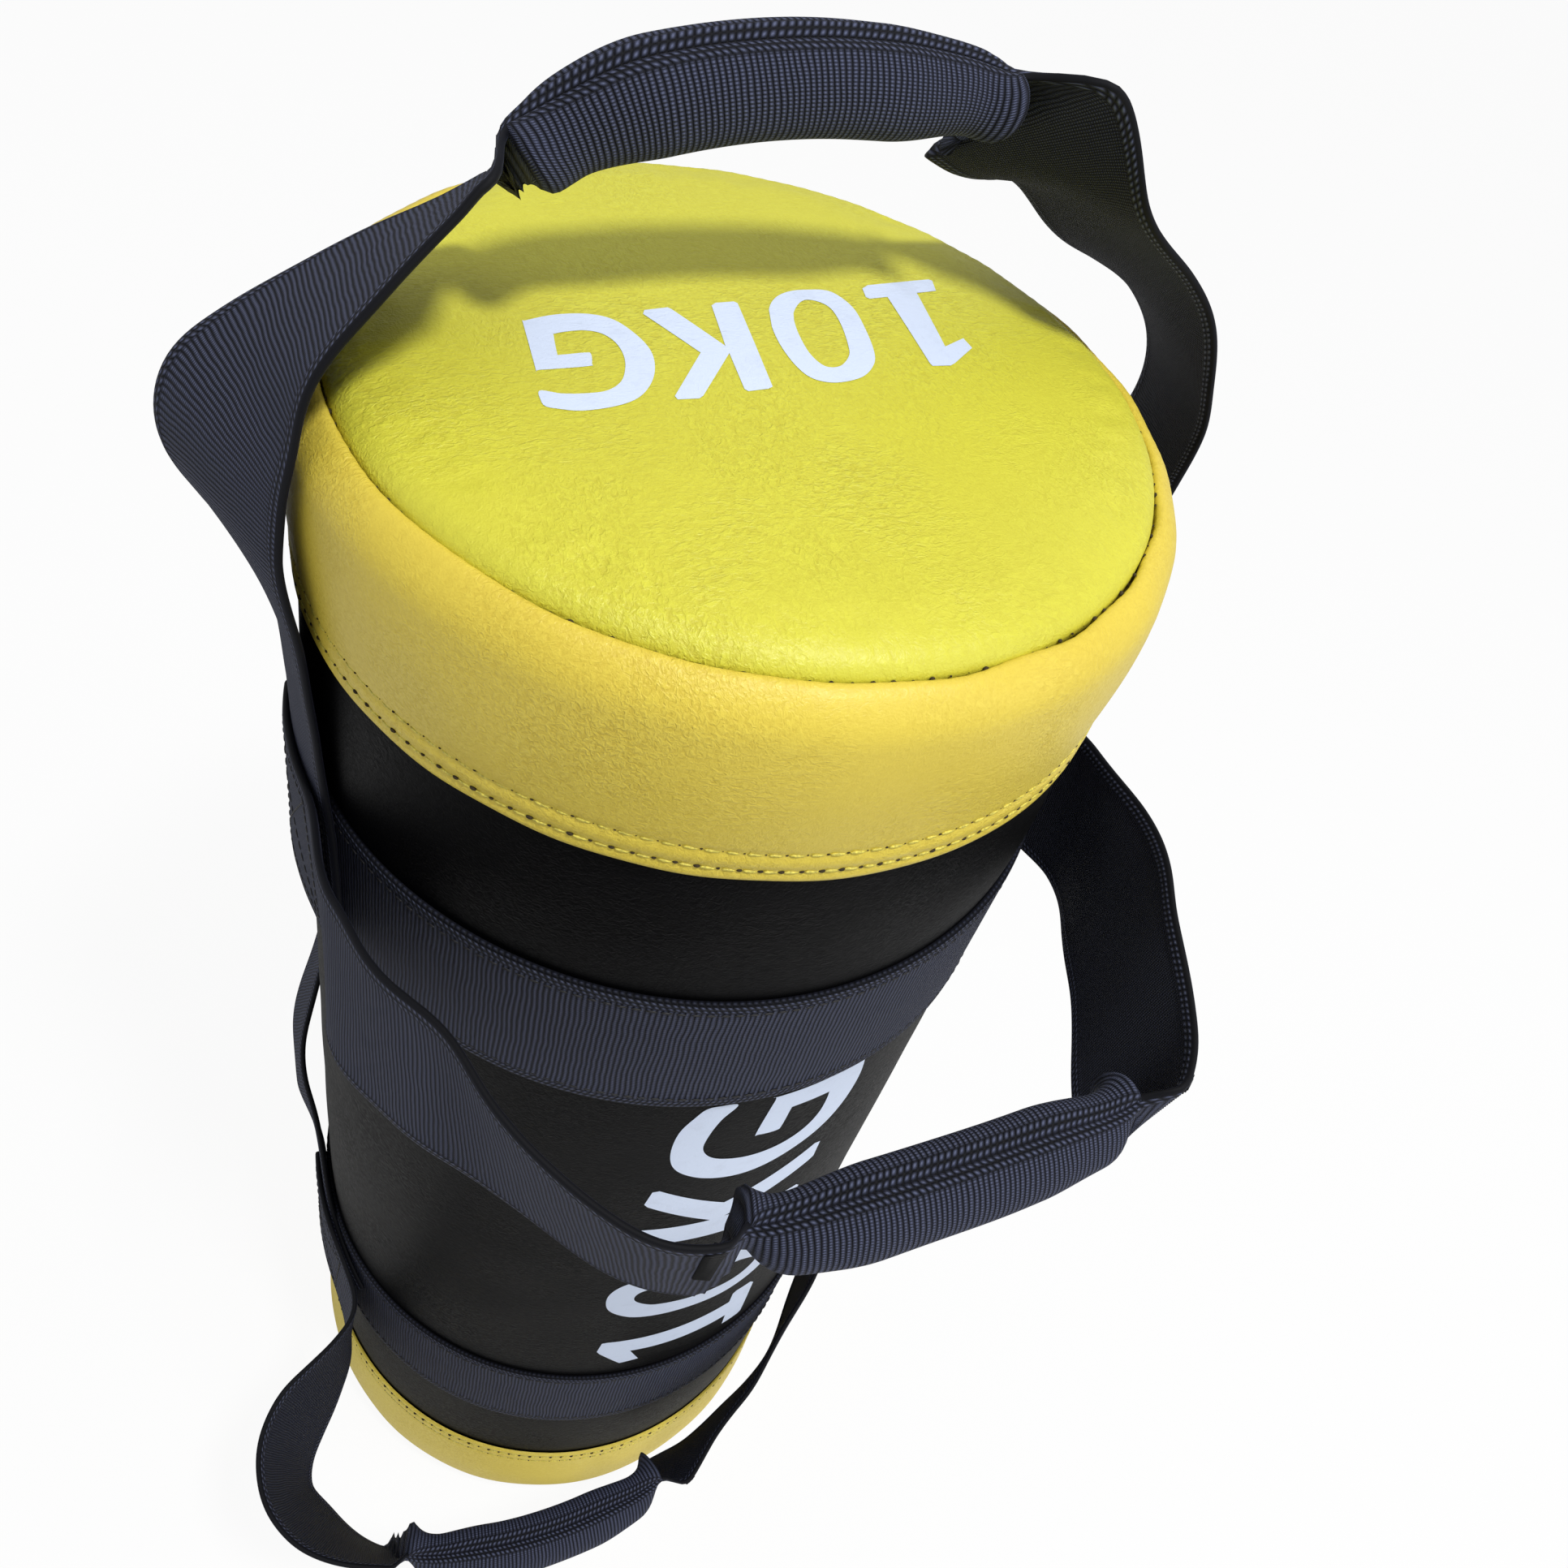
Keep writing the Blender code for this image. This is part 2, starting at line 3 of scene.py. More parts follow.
import bmesh
import bpy
import numpy as np
from bpy.props import FloatProperty, FloatVectorProperty, IntProperty, PointerProperty
from mathutils import Matrix, Vector
from mathutils.bvhtree import BVHTree


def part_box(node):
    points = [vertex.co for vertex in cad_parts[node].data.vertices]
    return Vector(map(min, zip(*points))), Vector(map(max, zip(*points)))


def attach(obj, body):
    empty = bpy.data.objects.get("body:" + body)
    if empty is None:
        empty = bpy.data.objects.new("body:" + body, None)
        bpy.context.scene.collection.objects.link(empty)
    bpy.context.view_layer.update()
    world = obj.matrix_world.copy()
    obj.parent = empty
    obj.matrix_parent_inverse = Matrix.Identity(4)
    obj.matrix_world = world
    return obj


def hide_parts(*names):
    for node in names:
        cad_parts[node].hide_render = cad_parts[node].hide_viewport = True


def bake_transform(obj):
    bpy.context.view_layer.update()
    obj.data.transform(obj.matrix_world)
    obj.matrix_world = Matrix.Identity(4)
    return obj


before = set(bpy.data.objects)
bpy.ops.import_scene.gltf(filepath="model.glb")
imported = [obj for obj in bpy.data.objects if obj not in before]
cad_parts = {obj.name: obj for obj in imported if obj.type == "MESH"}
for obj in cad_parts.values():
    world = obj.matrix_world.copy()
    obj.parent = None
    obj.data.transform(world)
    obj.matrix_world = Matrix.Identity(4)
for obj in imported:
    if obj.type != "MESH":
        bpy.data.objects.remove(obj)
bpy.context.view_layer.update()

bl_info = {
    "name": "Training sandbag",
    "version": (1, 0, 0),
    "blender": (4, 5, 0),
    "location": "View3D > Sidebar > Sandbag",
    "description": "Builds a stuffed leather training bag with webbing belts and handles",
    "category": "Add Mesh",
}

MM = 0.001

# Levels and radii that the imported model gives, in metres
BELT_MIDDLES = {name: (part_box(name)[0][2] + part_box(name)[1][2]) / 2 for name in ("upper_belt", "lower_belt")}
BELT_HALF = (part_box("upper_belt")[1][2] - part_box("upper_belt")[0][2]) / 2
BELT_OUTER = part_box("upper_belt")[1][0]
COVER_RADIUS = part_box("body_cover")[1][0]
COVER_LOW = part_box("body_cover")[0][2]
COVER_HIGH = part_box("body_cover")[1][2]
BAND_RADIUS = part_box("top_cap_band")[1][0]
TOP_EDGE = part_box("top_cap_band")[0][2]
TOP_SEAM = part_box("top_cap_band")[1][2]
LOW_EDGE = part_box("bottom_cap_band")[1][2]
LOW_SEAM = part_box("bottom_cap_band")[0][2]
DOME_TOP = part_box("top_end_disc")[1][2]

# Each handle: its hinge's belt, side, reach and raised angle, the edge of the webbing that stays on top as it
# rolls up, how far the roll is turned about that edge, and whether a bar tack closes each end of the grip
HANDLES = {
    "top_front_handle": ("upper_belt", 0.1071, 0.160, 10, 1, 6 * MM, True),
    "top_rear_handle": ("upper_belt", 0.1050, 0.1895, 95, -1, -6.5 * MM, False),
    "bottom_front_handle": ("lower_belt", 0.1071, 0.140, -10, 1, 6 * MM, True),
    "bottom_rear_handle": ("lower_belt", 0.1050, 0.158, 150, 1, 6 * MM, True),
}

# Routes of the handles from the left sewn end to the right one: place to the side as a share of the sewn
# end's, place outwards as a share of the reach, lean in degrees, how far the webbing is rolled up, and how many
# millimetres the flat webbing sits off the middle, where it does. The lower rear route mirrors its first half.
LOWER_REAR_HALF = (
    (-1.0, 0.0, 0, 0), (-1.0, 0.139, 0, 0), (-1.0, 0.278, 0, 0), (-1.0, 0.405, 0, 0), (-0.97, 0.519, 0, 0),
    (-0.9, 0.633, 2, 0), (-0.812, 0.735, 4, 0, -3), (-0.74, 0.815, 6, 0, -6), (-0.668, 0.878, 8, 0, -9),
    (-0.592, 0.926, 10, 0, -12), (-0.51, 0.958, 12, 0, -12), (-0.48, 0.965, 12, 0.15, -12),
    (-0.455, 0.971, 10, 0.6, -12), (-0.43, 0.976, 0, 0.95, -12), (-0.39, 0.983, -30, 1),
    (-0.345, 0.989, -50, 1), (-0.31, 0.994, -57, 1), (0.0, 1.0, -57, 1),
)
ROUTES = {
    "top_front_handle": (
        (-1.0, 0.0, 0, 0), (-1.008, 0.138, 0, 0), (-1.03, 0.275, 0, 0), (-1.018, 0.412, -4, 0),
        (-0.957, 0.544, 2, 0), (-0.861, 0.662, 6, 0), (-0.79, 0.762, 10, 0, -3), (-0.715, 0.842, 14, 0, -7),
        (-0.642, 0.902, 17, 0, -10), (-0.566, 0.945, 19, 0, -12), (-0.488, 0.969, 19, 0, -12),
        (-0.47, 0.973, 18, 0.1, -12), (-0.448, 0.978, 12, 0.5, -12), (-0.426, 0.982, -4, 0.9, -12),
        (-0.4, 0.986, -28, 1), (-0.37, 0.99, -48, 1), (-0.335, 0.992, -57, 1), (-0.287, 0.994, -57, 1),
        (-0.077, 1.0, -57, 1), (0.153, 1.0, -57, 1), (0.39, 0.997, -57, 1), (0.425, 0.996, -57, 1),
        (0.462, 0.993, -48, 1), (0.492, 0.99, -28, 1), (0.518, 0.986, -4, 0.9, -12),
        (0.54, 0.981, 12, 0.5, -12), (0.562, 0.975, 18, 0.1, -12), (0.58, 0.968, 19, 0, -12),
        (0.64, 0.928, 19, 0, -11), (0.688, 0.868, 19, 0, -9), (0.735, 0.802, 18, 0, -6),
        (0.785, 0.735, 16, 0, -3), (0.852, 0.65, 13, 0), (0.928, 0.531, 7, 0), (0.98, 0.4, 0, 0),
        (1.0, 0.262, 0, 0), (1.004, 0.125, 0, 0), (1.0, 0.0, 0, 0),
    ),
    "top_rear_handle": (
        (-1.0, 0.0, 0, 0), (-1.0, 0.148, 0, 0), (-1.0, 0.286, 0, 0), (-1.039, 0.389, 6, 0),
        (-1.088, 0.468, 13, 0), (-1.119, 0.535, 18, 0), (-1.104, 0.603, 16, 0), (-1.037, 0.664, 8, 0),
        (-0.939, 0.734, -4, 0), (-0.787, 0.804, -14, 0), (-0.64, 0.862, -21, 0), (-0.6, 0.881, -24, 0),
        (-0.572, 0.893, -25, 0.1), (-0.548, 0.903, -25, 0.5), (-0.525, 0.911, -22, 0.85),
        (-0.5, 0.922, -4, 1), (-0.465, 0.933, 14, 1), (-0.42, 0.945, 24, 1), (-0.3, 0.97, 24, 1),
        (-0.125, 0.99, 24, 1), (0.077, 1.0, 24, 1), (0.28, 0.998, 24, 1), (0.39, 0.996, 24, 1),
        (0.44, 0.991, 24, 1), (0.47, 0.987, 10, 1), (0.495, 0.982, -12, 0.92), (0.52, 0.976, -30, 0.6),
        (0.545, 0.968, -40, 0.2), (0.575, 0.956, -45, 0), (0.647, 0.92, -36, 0), (0.71, 0.895, -26, 0),
        (0.789, 0.871, -15, 0), (0.951, 0.805, -11, 0), (1.104, 0.744, -3, 0), (1.228, 0.672, 10, 0),
        (1.312, 0.59, 18, 0), (1.315, 0.502, 18, 0), (1.221, 0.415, 12, 0), (1.095, 0.324, 5, 0),
        (1.0, 0.226, 0, 0), (1.0, 0.116, 0, 0), (1.0, 0.0, 0, 0),
    ),
    "bottom_front_handle": (
        (-1.0, 0.0, 0, 0), (-1.0, 0.16, 0, 0), (-1.004, 0.28, 0, 0), (-1.05, 0.36, 8, 0),
        (-1.13, 0.425, 15, 0), (-1.22, 0.488, 21, 0), (-1.285, 0.565, 24, 0), (-1.3, 0.66, 22, 0),
        (-1.248, 0.745, 20, 0, -3), (-1.182, 0.808, 16, 0, -7), (-1.11, 0.855, 12, 0, -10),
        (-1.035, 0.89, 8, 0, -12), (-1.015, 0.898, 8, 0.1, -12), (-0.992, 0.905, 4, 0.5, -12),
        (-0.968, 0.912, -14, 0.9, -12), (-0.942, 0.921, -40, 1), (-0.908, 0.931, -62, 1),
        (-0.87, 0.941, -71, 1), (-0.84, 0.948, -71, 1), (-0.64, 0.98, -71, 1), (-0.42, 0.994, -71, 1),
        (-0.18, 0.985, -71, 1), (-0.14, 0.98, -70, 1), (-0.105, 0.976, -60, 1), (-0.076, 0.971, -38, 1),
        (-0.05, 0.965, -10, 0.9, -12), (-0.026, 0.959, 8, 0.5, -12), (-0.004, 0.954, 12, 0.1, -12),
        (0.015, 0.949, 12, 0, -12), (0.085, 0.926, 8, 0, -11), (0.155, 0.902, 4, 0, -8),
        (0.23, 0.873, 2, 0, -4), (0.32, 0.838, 0, 0), (0.44, 0.785, -4, 0), (0.588, 0.705, -6, 0),
        (0.735, 0.6, -6, 0), (0.87, 0.48, -4, 0), (0.955, 0.375, 0, 0), (1.0, 0.275, 0, 0),
        (1.0, 0.135, 0, 0), (1.0, 0.0, 0, 0),
    ),
    "bottom_rear_handle": (
        *LOWER_REAR_HALF, *((-side, *rest) for side, *rest in LOWER_REAR_HALF[-2::-1])
    ),
}

STRAP_HALF = 25 * MM
STRAP_THICKNESS = 1.8 * MM
SEWN_END = 24 * MM
WAVY_FROM = (70 * MM, 110 * MM)
GRIP_FULLNESS = 1.1
GRIP_TAPER = 0.24
GRIP_TAPER_RUN = 26 * MM
GRIP_HALF_DEPTH = 7.1
GRIP_HALF_HEIGHT = 10.4
STATION_STEP = 1.5 * MM
ROUTE_SMOOTHING = (2.6, 2.6, 1.4, 1.4, 3.0)
ACROSS_POINTS = 41
SELVEDGE = 3 * MM
SELVEDGE_ROW = 1.5 * MM
KNOT_PITCH = 1.7 * MM
YARN_PITCH = 0.62 * MM
INNER_RIB_PITCH = 0.75 * MM
WRAP_REACH = 60 * MM
SEAM_STITCHES = 144
COVER_STEPS = 320
ROUND_STEPS = 4 * SEAM_STITCHES
LAP_ROWS = (3.3 * MM, 9.0 * MM)
WEBBING_UV = "Webbing"
DISC_RIM = 90 * MM
RIM_LIFT = 3.6 * MM

# Outlines of the weight mark's two numerals and two letters, in millimetres: whether the outline is rounded,
# whether it belongs to the unit, and its corners
MARK_MIDDLE = np.array([55.0, 11.5])
MARK_OUTLINES = (
    (False, False, (
        (18.3, -4.9), (15.9, -6.2), (-4.0, -7.5), (-4.7, -6.8), (-2.7, -2.1), (3.7, -1.6), (10.4, 21.4),
        (3.0, 18.7), (3.1, 22.8), (12.1, 28.1), (13.8, 28.8), (18.8, 28.3), (18.9, 27.2), (13.4, -0.6),
        (18.9, -0.3), (19.6, -1.1),
    )),
    (True, False, (
        (48.5, 1.0), (44.2, -3.6), (39.2, -5.8), (33.9, -6.0), (28.0, -4.5), (25.9, 2.5), (27.8, 11.7),
        (31.0, 21.0), (34.3, 25.9), (39.8, 29.6), (47.1, 30.4), (51.9, 28.1), (53.5, 23.2), (53.2, 15.5),
        (51.4, 7.7),
    )),
    (True, False, (
        (43.0, 3.2), (39.5, -0.4), (36.4, -1.8), (33.4, -0.3), (32.1, 3.1), (33.4, 9.9), (36.3, 17.8),
        (38.4, 21.5), (42.3, 24.6), (45.6, 24.8), (47.2, 22.9), (47.6, 18.3), (46.2, 11.2), (44.4, 5.9),
    )),
    (False, True, (
        (61.8, -2.8), (60.3, -3.7), (55.5, -3.6), (54.9, -2.8), (63.0, 29.0), (64.3, 29.5), (69.3, 29.4),
        (69.8, 28.5), (66.8, 15.6), (80.0, 28.7), (81.3, 29.4), (86.1, 28.7), (86.2, 27.5), (73.3, 14.2),
        (79.6, -2.2), (78.6, -3.6), (72.7, -3.7), (72.1, -2.8), (66.4, 12.9),
    )),
    (True, True, (
        (107.4, -3.9), (106.4, -4.9), (99.2, -5.7), (91.9, -4.5), (87.1, -1.1), (84.6, 5.6), (84.2, 11.6),
        (86.0, 17.3), (89.4, 22.4), (94.2, 26.3), (100.2, 27.8), (107.5, 27.5), (112.4, 25.5), (114.1, 24.3),
        (114.3, 22.6), (113.2, 19.2), (109.2, 21.2), (103.8, 22.4), (99.3, 22.4), (95.2, 20.1), (92.2, 15.6),
        (90.7, 11.1), (90.6, 6.6), (92.2, 3.1), (95.3, 1.3), (99.0, 0.9), (102.2, 1.1), (102.7, 1.6),
        (104.6, 8.0), (104.2, 8.6), (98.7, 9.0), (97.6, 9.7), (98.8, 13.0), (100.0, 13.7), (110.3, 12.6),
        (111.1, 11.8),
    )),
)

# Camera: where it stands and its lens; camera_ways gives where it looks and how it is turned about its own axis
CAMERA_PLACE = (-0.1404, -0.2431, 0.7068)
CAMERA_LENS = 31.74


def linear(hex_colour):
    """The linear colour of an sRGB hex colour."""
    shares = [int(hex_colour[i:i + 2], 16) / 255 for i in (1, 3, 5)]
    return tuple(s / 12.92 if s <= 0.04045 else ((s + 0.055) / 1.055) ** 2.4 for s in shares)


def colour_property(name, hex_colour, description):
    return FloatVectorProperty(
        name=name, description=description, default=linear(hex_colour), subtype="COLOR", min=0, max=1
    )


def power_property(name, default, description):
    return FloatProperty(name=name, description=description, default=default, unit="POWER")


def length_property(name, default, description):
    return FloatProperty(
        name=name, description=description, default=default, min=0, unit="LENGTH", precision=5
    )


class SandbagSizes(bpy.types.PropertyGroup):
    leather: length_property("Leather thickness", 1.5 * MM, "Thickness of the faux leather")
    band_bulge: length_property("Band bulge", 1.3 * MM, "How far the padding pushes out the yellow bands")
    cover_bulge: length_property("Cover bulge", 0.8 * MM, "How far the padding pushes out the black cover")
    rib_pitch: length_property("Rib pitch", 1.35 * MM, "Distance between the ribs across the webbing")
    stitch_length: length_property("Stitch length", 3.5 * MM, "Visible length of one stitch")
    thread: length_property("Thread thickness", 0.75 * MM, "Thickness of the sewing thread")
    grain: length_property("Grain size", 1.1 * MM, "Distance between the fine wrinkles of the leather")
    mark_size: FloatProperty(name="Mark size", description="Size of the mark on the end disc", default=1)


class SandbagColours(bpy.types.PropertyGroup):
    # Each leather's deep colour is painted shade in the wrinkle valleys, and also the end of a slow random
    # colour drift.
    disc: colour_property("End disc", "#D8D646", "Lime yellow leather of the round ends")
    disc_painted_shade_and_drift: colour_property("End disc, deep", "#C2BA38", "Lime yellow in the wrinkles")
    # The bands' warmer yellow is painted warm light: the same leather as the discs, tinted as warm light falls
    # on the side.
    band: colour_property("Cap band", "#E4CF50", "Warm yellow leather of the bands")
    band_painted_shade_and_drift: colour_property("Cap band, deep", "#CDB43C", "Warm yellow in the wrinkles")
    cover: colour_property("Cover", "#050506", "Black leather of the body")
    cover_painted_shade_and_drift: colour_property("Cover, deep", "#030304", "Black leather in the wrinkles")
    # Webbing colours are painted light: the rib colour carries painted highlight on the raised yarns, the groove
    # colour painted shade between them.
    webbing: colour_property("Webbing ribs", "#565C76", "Navy yarn on top of the ribs")
    webbing_deep: colour_property("Webbing grooves", "#05060C", "Shaded navy yarn between the ribs")
    ink: colour_property("Print", "#D3DFF5", "Pale print of the weight marks")
    thread: colour_property("Yellow thread", "#E4D65A", "Thread of the cap bands")
    hole: colour_property("Needle holes", "#3A2E12", "Shade inside the needle holes")


class SandbagStage(bpy.types.PropertyGroup):
    floor: colour_property("Floor", "#F4F4F4", "Colour of the studio floor")
    key_power: power_property("Key light", 14.5, "Power of the overhead light")
    fill_power: power_property("Fill light", 6.0, "Power of the front light")
    seed: IntProperty(name="Seed", description="Seed of the stitches' small differences", default=7)


def smooth_step(value, start, end):
    share = np.clip((value - start) / (end - start), 0, 1)
    return share * share * (3 - 2 * share)


def bell(value, centre, width):
    return np.exp(-(((value - centre) / width) ** 2))


def unevenness(seed, most_turns, most_up, count=14):
    """Slow random waves round and up the bag, as a function of the angle and the height."""
    chance = np.random.default_rng(seed)
    turns = chance.integers(1, most_turns + 1, count)
    ups = chance.uniform(-most_up, most_up, count)
    phases = chance.uniform(0, math.tau, count)

    def wave(angle, height):
        parts = [np.cos(t * angle + u * height + p) for t, u, p in zip(turns, ups, phases)]
        return sum(parts) / math.sqrt(count)

    return wave


class Wiring:
    """Adds nodes to a tree. Each method returns one output, which other nodes take as an input."""

    def __init__(self, tree):
        self.tree = tree

    def add(self, kind, inputs=None, give=0, **settings):
        node = self.tree.nodes.new(kind)
        for key, value in settings.items():
            setattr(node, key, value)
        for key, value in (inputs or {}).items():
            if isinstance(value, bpy.types.NodeSocket):
                self.tree.links.new(value, node.inputs[key])
            else:
                node.inputs[key].default_value = value
        return node.outputs[give]

    def math(self, operation, *values, clamp=False):
        return self.add("ShaderNodeMath", dict(enumerate(values)), operation=operation, use_clamp=clamp)

    def remap(self, value, low=0.0, high=1.0, to_low=0.0, to_high=1.0):
        given = {"Value": value, "From Min": low, "From Max": high, "To Min": to_low, "To Max": to_high}
        return self.add("ShaderNodeMapRange", given)

    def noise(self, place, scale, detail, roughness=0.5, distortion=0.0):
        given = {"Vector": place, "Scale": scale, "Detail": detail, "Roughness": roughness}
        return self.add("ShaderNodeTexNoise", {**given, "Distortion": distortion})

    def between(self, share, first, second):
        return self.add("ShaderNodeMix", {0: share, 2: first, 3: second}, data_type="FLOAT")

    def tint(self, share, first, second):
        """A colour between two."""
        given = {0: share, 6: (*first, 1), 7: (*second, 1)}
        return self.add("ShaderNodeMix", given, give=2, data_type="RGBA")


def darker(colour, share):
    return tuple(share * part for part in colour)


def new_material(name, roughness, **shader_values):
    """An empty material, its wiring and its shader, with the shader's plain values set."""
    made = bpy.data.materials.new(name)
    made.use_nodes = True
    shader = made.node_tree.nodes["Principled BSDF"]
    shader.inputs["Roughness"].default_value = roughness
    for key, value in shader_values.items():
        shader.inputs[key.replace("_", " ")].default_value = value
    return made, Wiring(made.node_tree), shader


def finish_shader(w, shader, colour, height, depth, roughness=None):
    """Links a colour, a bump of this depth and a roughness to the shader."""
    w.tree.links.new(colour, shader.inputs["Base Color"])
    normal = w.add("ShaderNodeBump", {"Height": height, "Distance": depth, "Strength": 1.0})
    w.tree.links.new(normal, shader.inputs["Normal"])
    if roughness is not None:
        w.tree.links.new(roughness, shader.inputs["Roughness"])


def leather_height(w, grain):
    """Soft fine wrinkles whose direction changes over the hide, deeper in patches, with a fine grain."""
    place = w.add("ShaderNodeTexCoord", give="Object")
    wrinkles = []
    for stretch in ((0.55, 1.0, 1.0), (1.0, 0.6, 0.8)):
        along = w.add("ShaderNodeMapping", {"Vector": place, "Scale": stretch})
        wrinkles.append(w.noise(along, 0.95 / grain, 3.0, distortion=1.1))
    choice = w.remap(w.noise(place, 30.0, 1.0), 0.42, 0.58)
    both = w.math("SUBTRACT", w.between(choice, *wrinkles), 0.5)
    patches = w.remap(w.noise(place, 20.0, 3.0), 0.35, 0.68, 0.35, 1.25)
    fine = w.noise(place, 2.4 / grain, 2.0)
    return place, w.math("MULTIPLY_ADD", fine, 0.16, w.math("MULTIPLY", both, patches))


def leather_material(name, colour, deep, grain, depth, roughness, specular):
    """Coated fabric: a soft wrinkled grain with painted shade that deepens the colour in its valleys, and a slow
    random colour drift.
    """
    made, w, shader = new_material(name, roughness, Specular_IOR_Level=specular)
    place, height = leather_height(w, grain)
    drift = w.remap(w.noise(place, 9.0, 3.0), 0.3, 0.7, to_high=0.4)
    # Painted shade: the colour deepens towards the deep colour in the grain's valleys; the slow drift is random
    # tone.
    valley_painted_shade = w.remap(height, -0.1, 0.2, 0.65, 0.0)
    share = w.math("ADD", valley_painted_shade, drift, clamp=True)
    dull = w.remap(height, -0.1, 0.25, roughness + 0.1, roughness - 0.05)
    finish_shader(w, shader, w.tint(share, colour, deep), height, depth, dull)
    return made


def ink_material(name, colour, grain):
    """Heat-pressed print: the leather's grain shows through it, with faint scuffs."""
    made, w, shader = new_material(name, 0.5)
    place, height = leather_height(w, grain)
    scuff = w.remap(w.noise(place, 160.0, 5.0, roughness=0.7), 0.52, 0.8, to_high=0.35)
    finish_shader(w, shader, w.tint(scuff, colour, darker(colour, 0.72)), height, 0.16 * MM)
    return made


def wave_of(w, value, pitch, shift=0.0):
    """A row of rounded crests from 0 to 1, one for each pitch."""
    return w.math("ABSOLUTE", w.math("SINE", w.math("MULTIPLY_ADD", value, math.pi / pitch, shift)))


def webbing_material(name, crest_painted_highlight, groove, rib_pitch, inner):
    """Woven webbing: ribs across it outside, a fine weave inside, and a braided selvedge on each edge, coloured
    with painted shade in its hollows and painted highlight on its raised yarns.
    """
    sheen = {"Sheen_Weight": 0.08, "Sheen_Roughness": 0.45}
    made, w, shader = new_material(name, 0.72, Specular_IOR_Level=0.2, **sheen)
    shader.inputs["Sheen Tint"].default_value = (*linear("#8A90B8"), 1)
    flat = w.add("ShaderNodeUVMap", uv_map=WEBBING_UV)
    wander = w.remap(w.noise(flat, 70.0, 2.0), to_low=-0.9 * MM, to_high=0.9 * MM)
    parts = w.add("ShaderNodeSeparateXYZ", {0: flat})
    along = w.math("ADD", parts, wander)
    across = parts.node.outputs[1]
    yarns = wave_of(w, across, YARN_PITCH)
    if inner:
        weave = w.math("MULTIPLY", wave_of(w, along, INNER_RIB_PITCH), yarns)
        field = w.remap(weave, to_low=0.05, to_high=0.8)
    else:
        ribs = w.math("POWER", wave_of(w, along, rib_pitch), 0.8)
        field = w.math("MULTIPLY", ribs, w.remap(yarns, to_low=0.55))
    edge = w.math("ABSOLUTE", across)
    border = STRAP_HALF - SELVEDGE
    rows = wave_of(w, edge, SELVEDGE_ROW, -math.pi * border / SELVEDGE_ROW)
    knots = wave_of(w, w.math("MULTIPLY_ADD", edge, 0.57, along), KNOT_PITCH)
    on_edge = w.remap(edge, border - 0.2 * MM, border + 0.2 * MM)
    height = w.between(on_edge, field, w.math("MULTIPLY", rows, knots))
    fuzz = w.remap(w.noise(flat, 1600.0, 2.0), to_low=0.75, to_high=1.15)
    # Painted light: raised yarns take the painted highlight colour, hollows take the painted shade colour given
    # as groove.
    painted_light_share = w.math("MULTIPLY", w.math("POWER", height, 2.3), fuzz, clamp=True)
    finish_shader(w, shader, w.tint(painted_light_share, groove, crest_painted_highlight), height, 0.75 * MM)
    return made


def thread_material(name, colour, roughness=0.55):
    """Twisted sewing thread with painted shade: darker between the plies and lighter on top of each ply."""
    made, w, shader = new_material(name, roughness)
    plies = w.noise(w.add("ShaderNodeTexCoord", give="Object"), 1500.0, 2.0)
    # Painted shade: the colour follows the ply relief, darker where it is low.
    tint = w.tint(w.remap(plies, 0.35, 0.65), darker(colour, 0.55), colour)
    finish_shader(w, shader, tint, plies, 0.1 * MM)
    return made


def speckled_material(name, colour, deep, size, depth, roughness):
    """A plain stuff with small cells or grains, for the foam, cloth, sand and nylon inside the bag."""
    made, w, shader = new_material(name, roughness)
    place = w.add("ShaderNodeTexCoord", give="Object")
    cells = w.add("ShaderNodeTexVoronoi", {"Vector": place, "Scale": 1 / size})
    tint = w.tint(w.remap(cells, high=0.7), linear(colour), linear(deep))
    finish_shader(w, shader, tint, cells, depth)
    return made


def finish_of(name):
    """One of the bag's finishes, made from the panel's values the first time that it is asked for."""
    if name in bpy.data.materials:
        return bpy.data.materials[name]
    sizes = bpy.context.scene.sandbag_sizes
    tones = bpy.context.scene.sandbag_colours
    grain = sizes.grain
    navy = (tones.webbing, tones.webbing_deep, sizes.rib_pitch)
    recipes = {
        "Lime faux leather": (leather_material, tones.disc, tones.disc_painted_shade_and_drift, grain, 0.48 * MM, 0.42, 0.4),
        # The bands' leather is tinted warmer than the discs' as painted warm light.
        "Warm yellow faux leather": (
            leather_material, tones.band, tones.band_painted_shade_and_drift, grain * 0.85, 0.34 * MM, 0.42, 0.4
        ),
        "Black faux leather": (leather_material, tones.cover, tones.cover_painted_shade_and_drift, grain, 0.30 * MM, 0.5, 0.06),
        "Pale heat-pressed print": (ink_material, tones.ink, grain),
        "Navy webbing, ribbed face": (webbing_material, *navy, False),
        "Navy webbing, inner face": (webbing_material, *navy, True),
        "Yellow thread": (thread_material, tones.thread),
        "Black thread": (thread_material, linear("#101014")),
        "Needle hole shade": (thread_material, tones.hole, 0.9),
        "Grey foam": (speckled_material, "#9A9A9C", "#6E6E72", 1.2 * MM, 0.3 * MM, 0.9),
        "White pouch cloth": (speckled_material, "#D4D2CA", "#B4B1A6", 0.7 * MM, 0.2 * MM, 0.85),
        "Dry sand": (speckled_material, "#B79C74", "#7E6540", 0.6 * MM, 0.3 * MM, 0.95),
        "Natural nylon": (speckled_material, "#DEDCD2", "#C8C5B8", 2.0 * MM, 0.05 * MM, 0.4),
    }
    make, *values = recipes[name]
    return make(name, *values)


def linked(name, data):
    """A new object of this data, in the scene."""
    made = bpy.data.objects.new(name, data)
    bpy.context.scene.collection.objects.link(made)
    return made


def evaluated(made):
    return made.evaluated_get(bpy.context.evaluated_depsgraph_get())


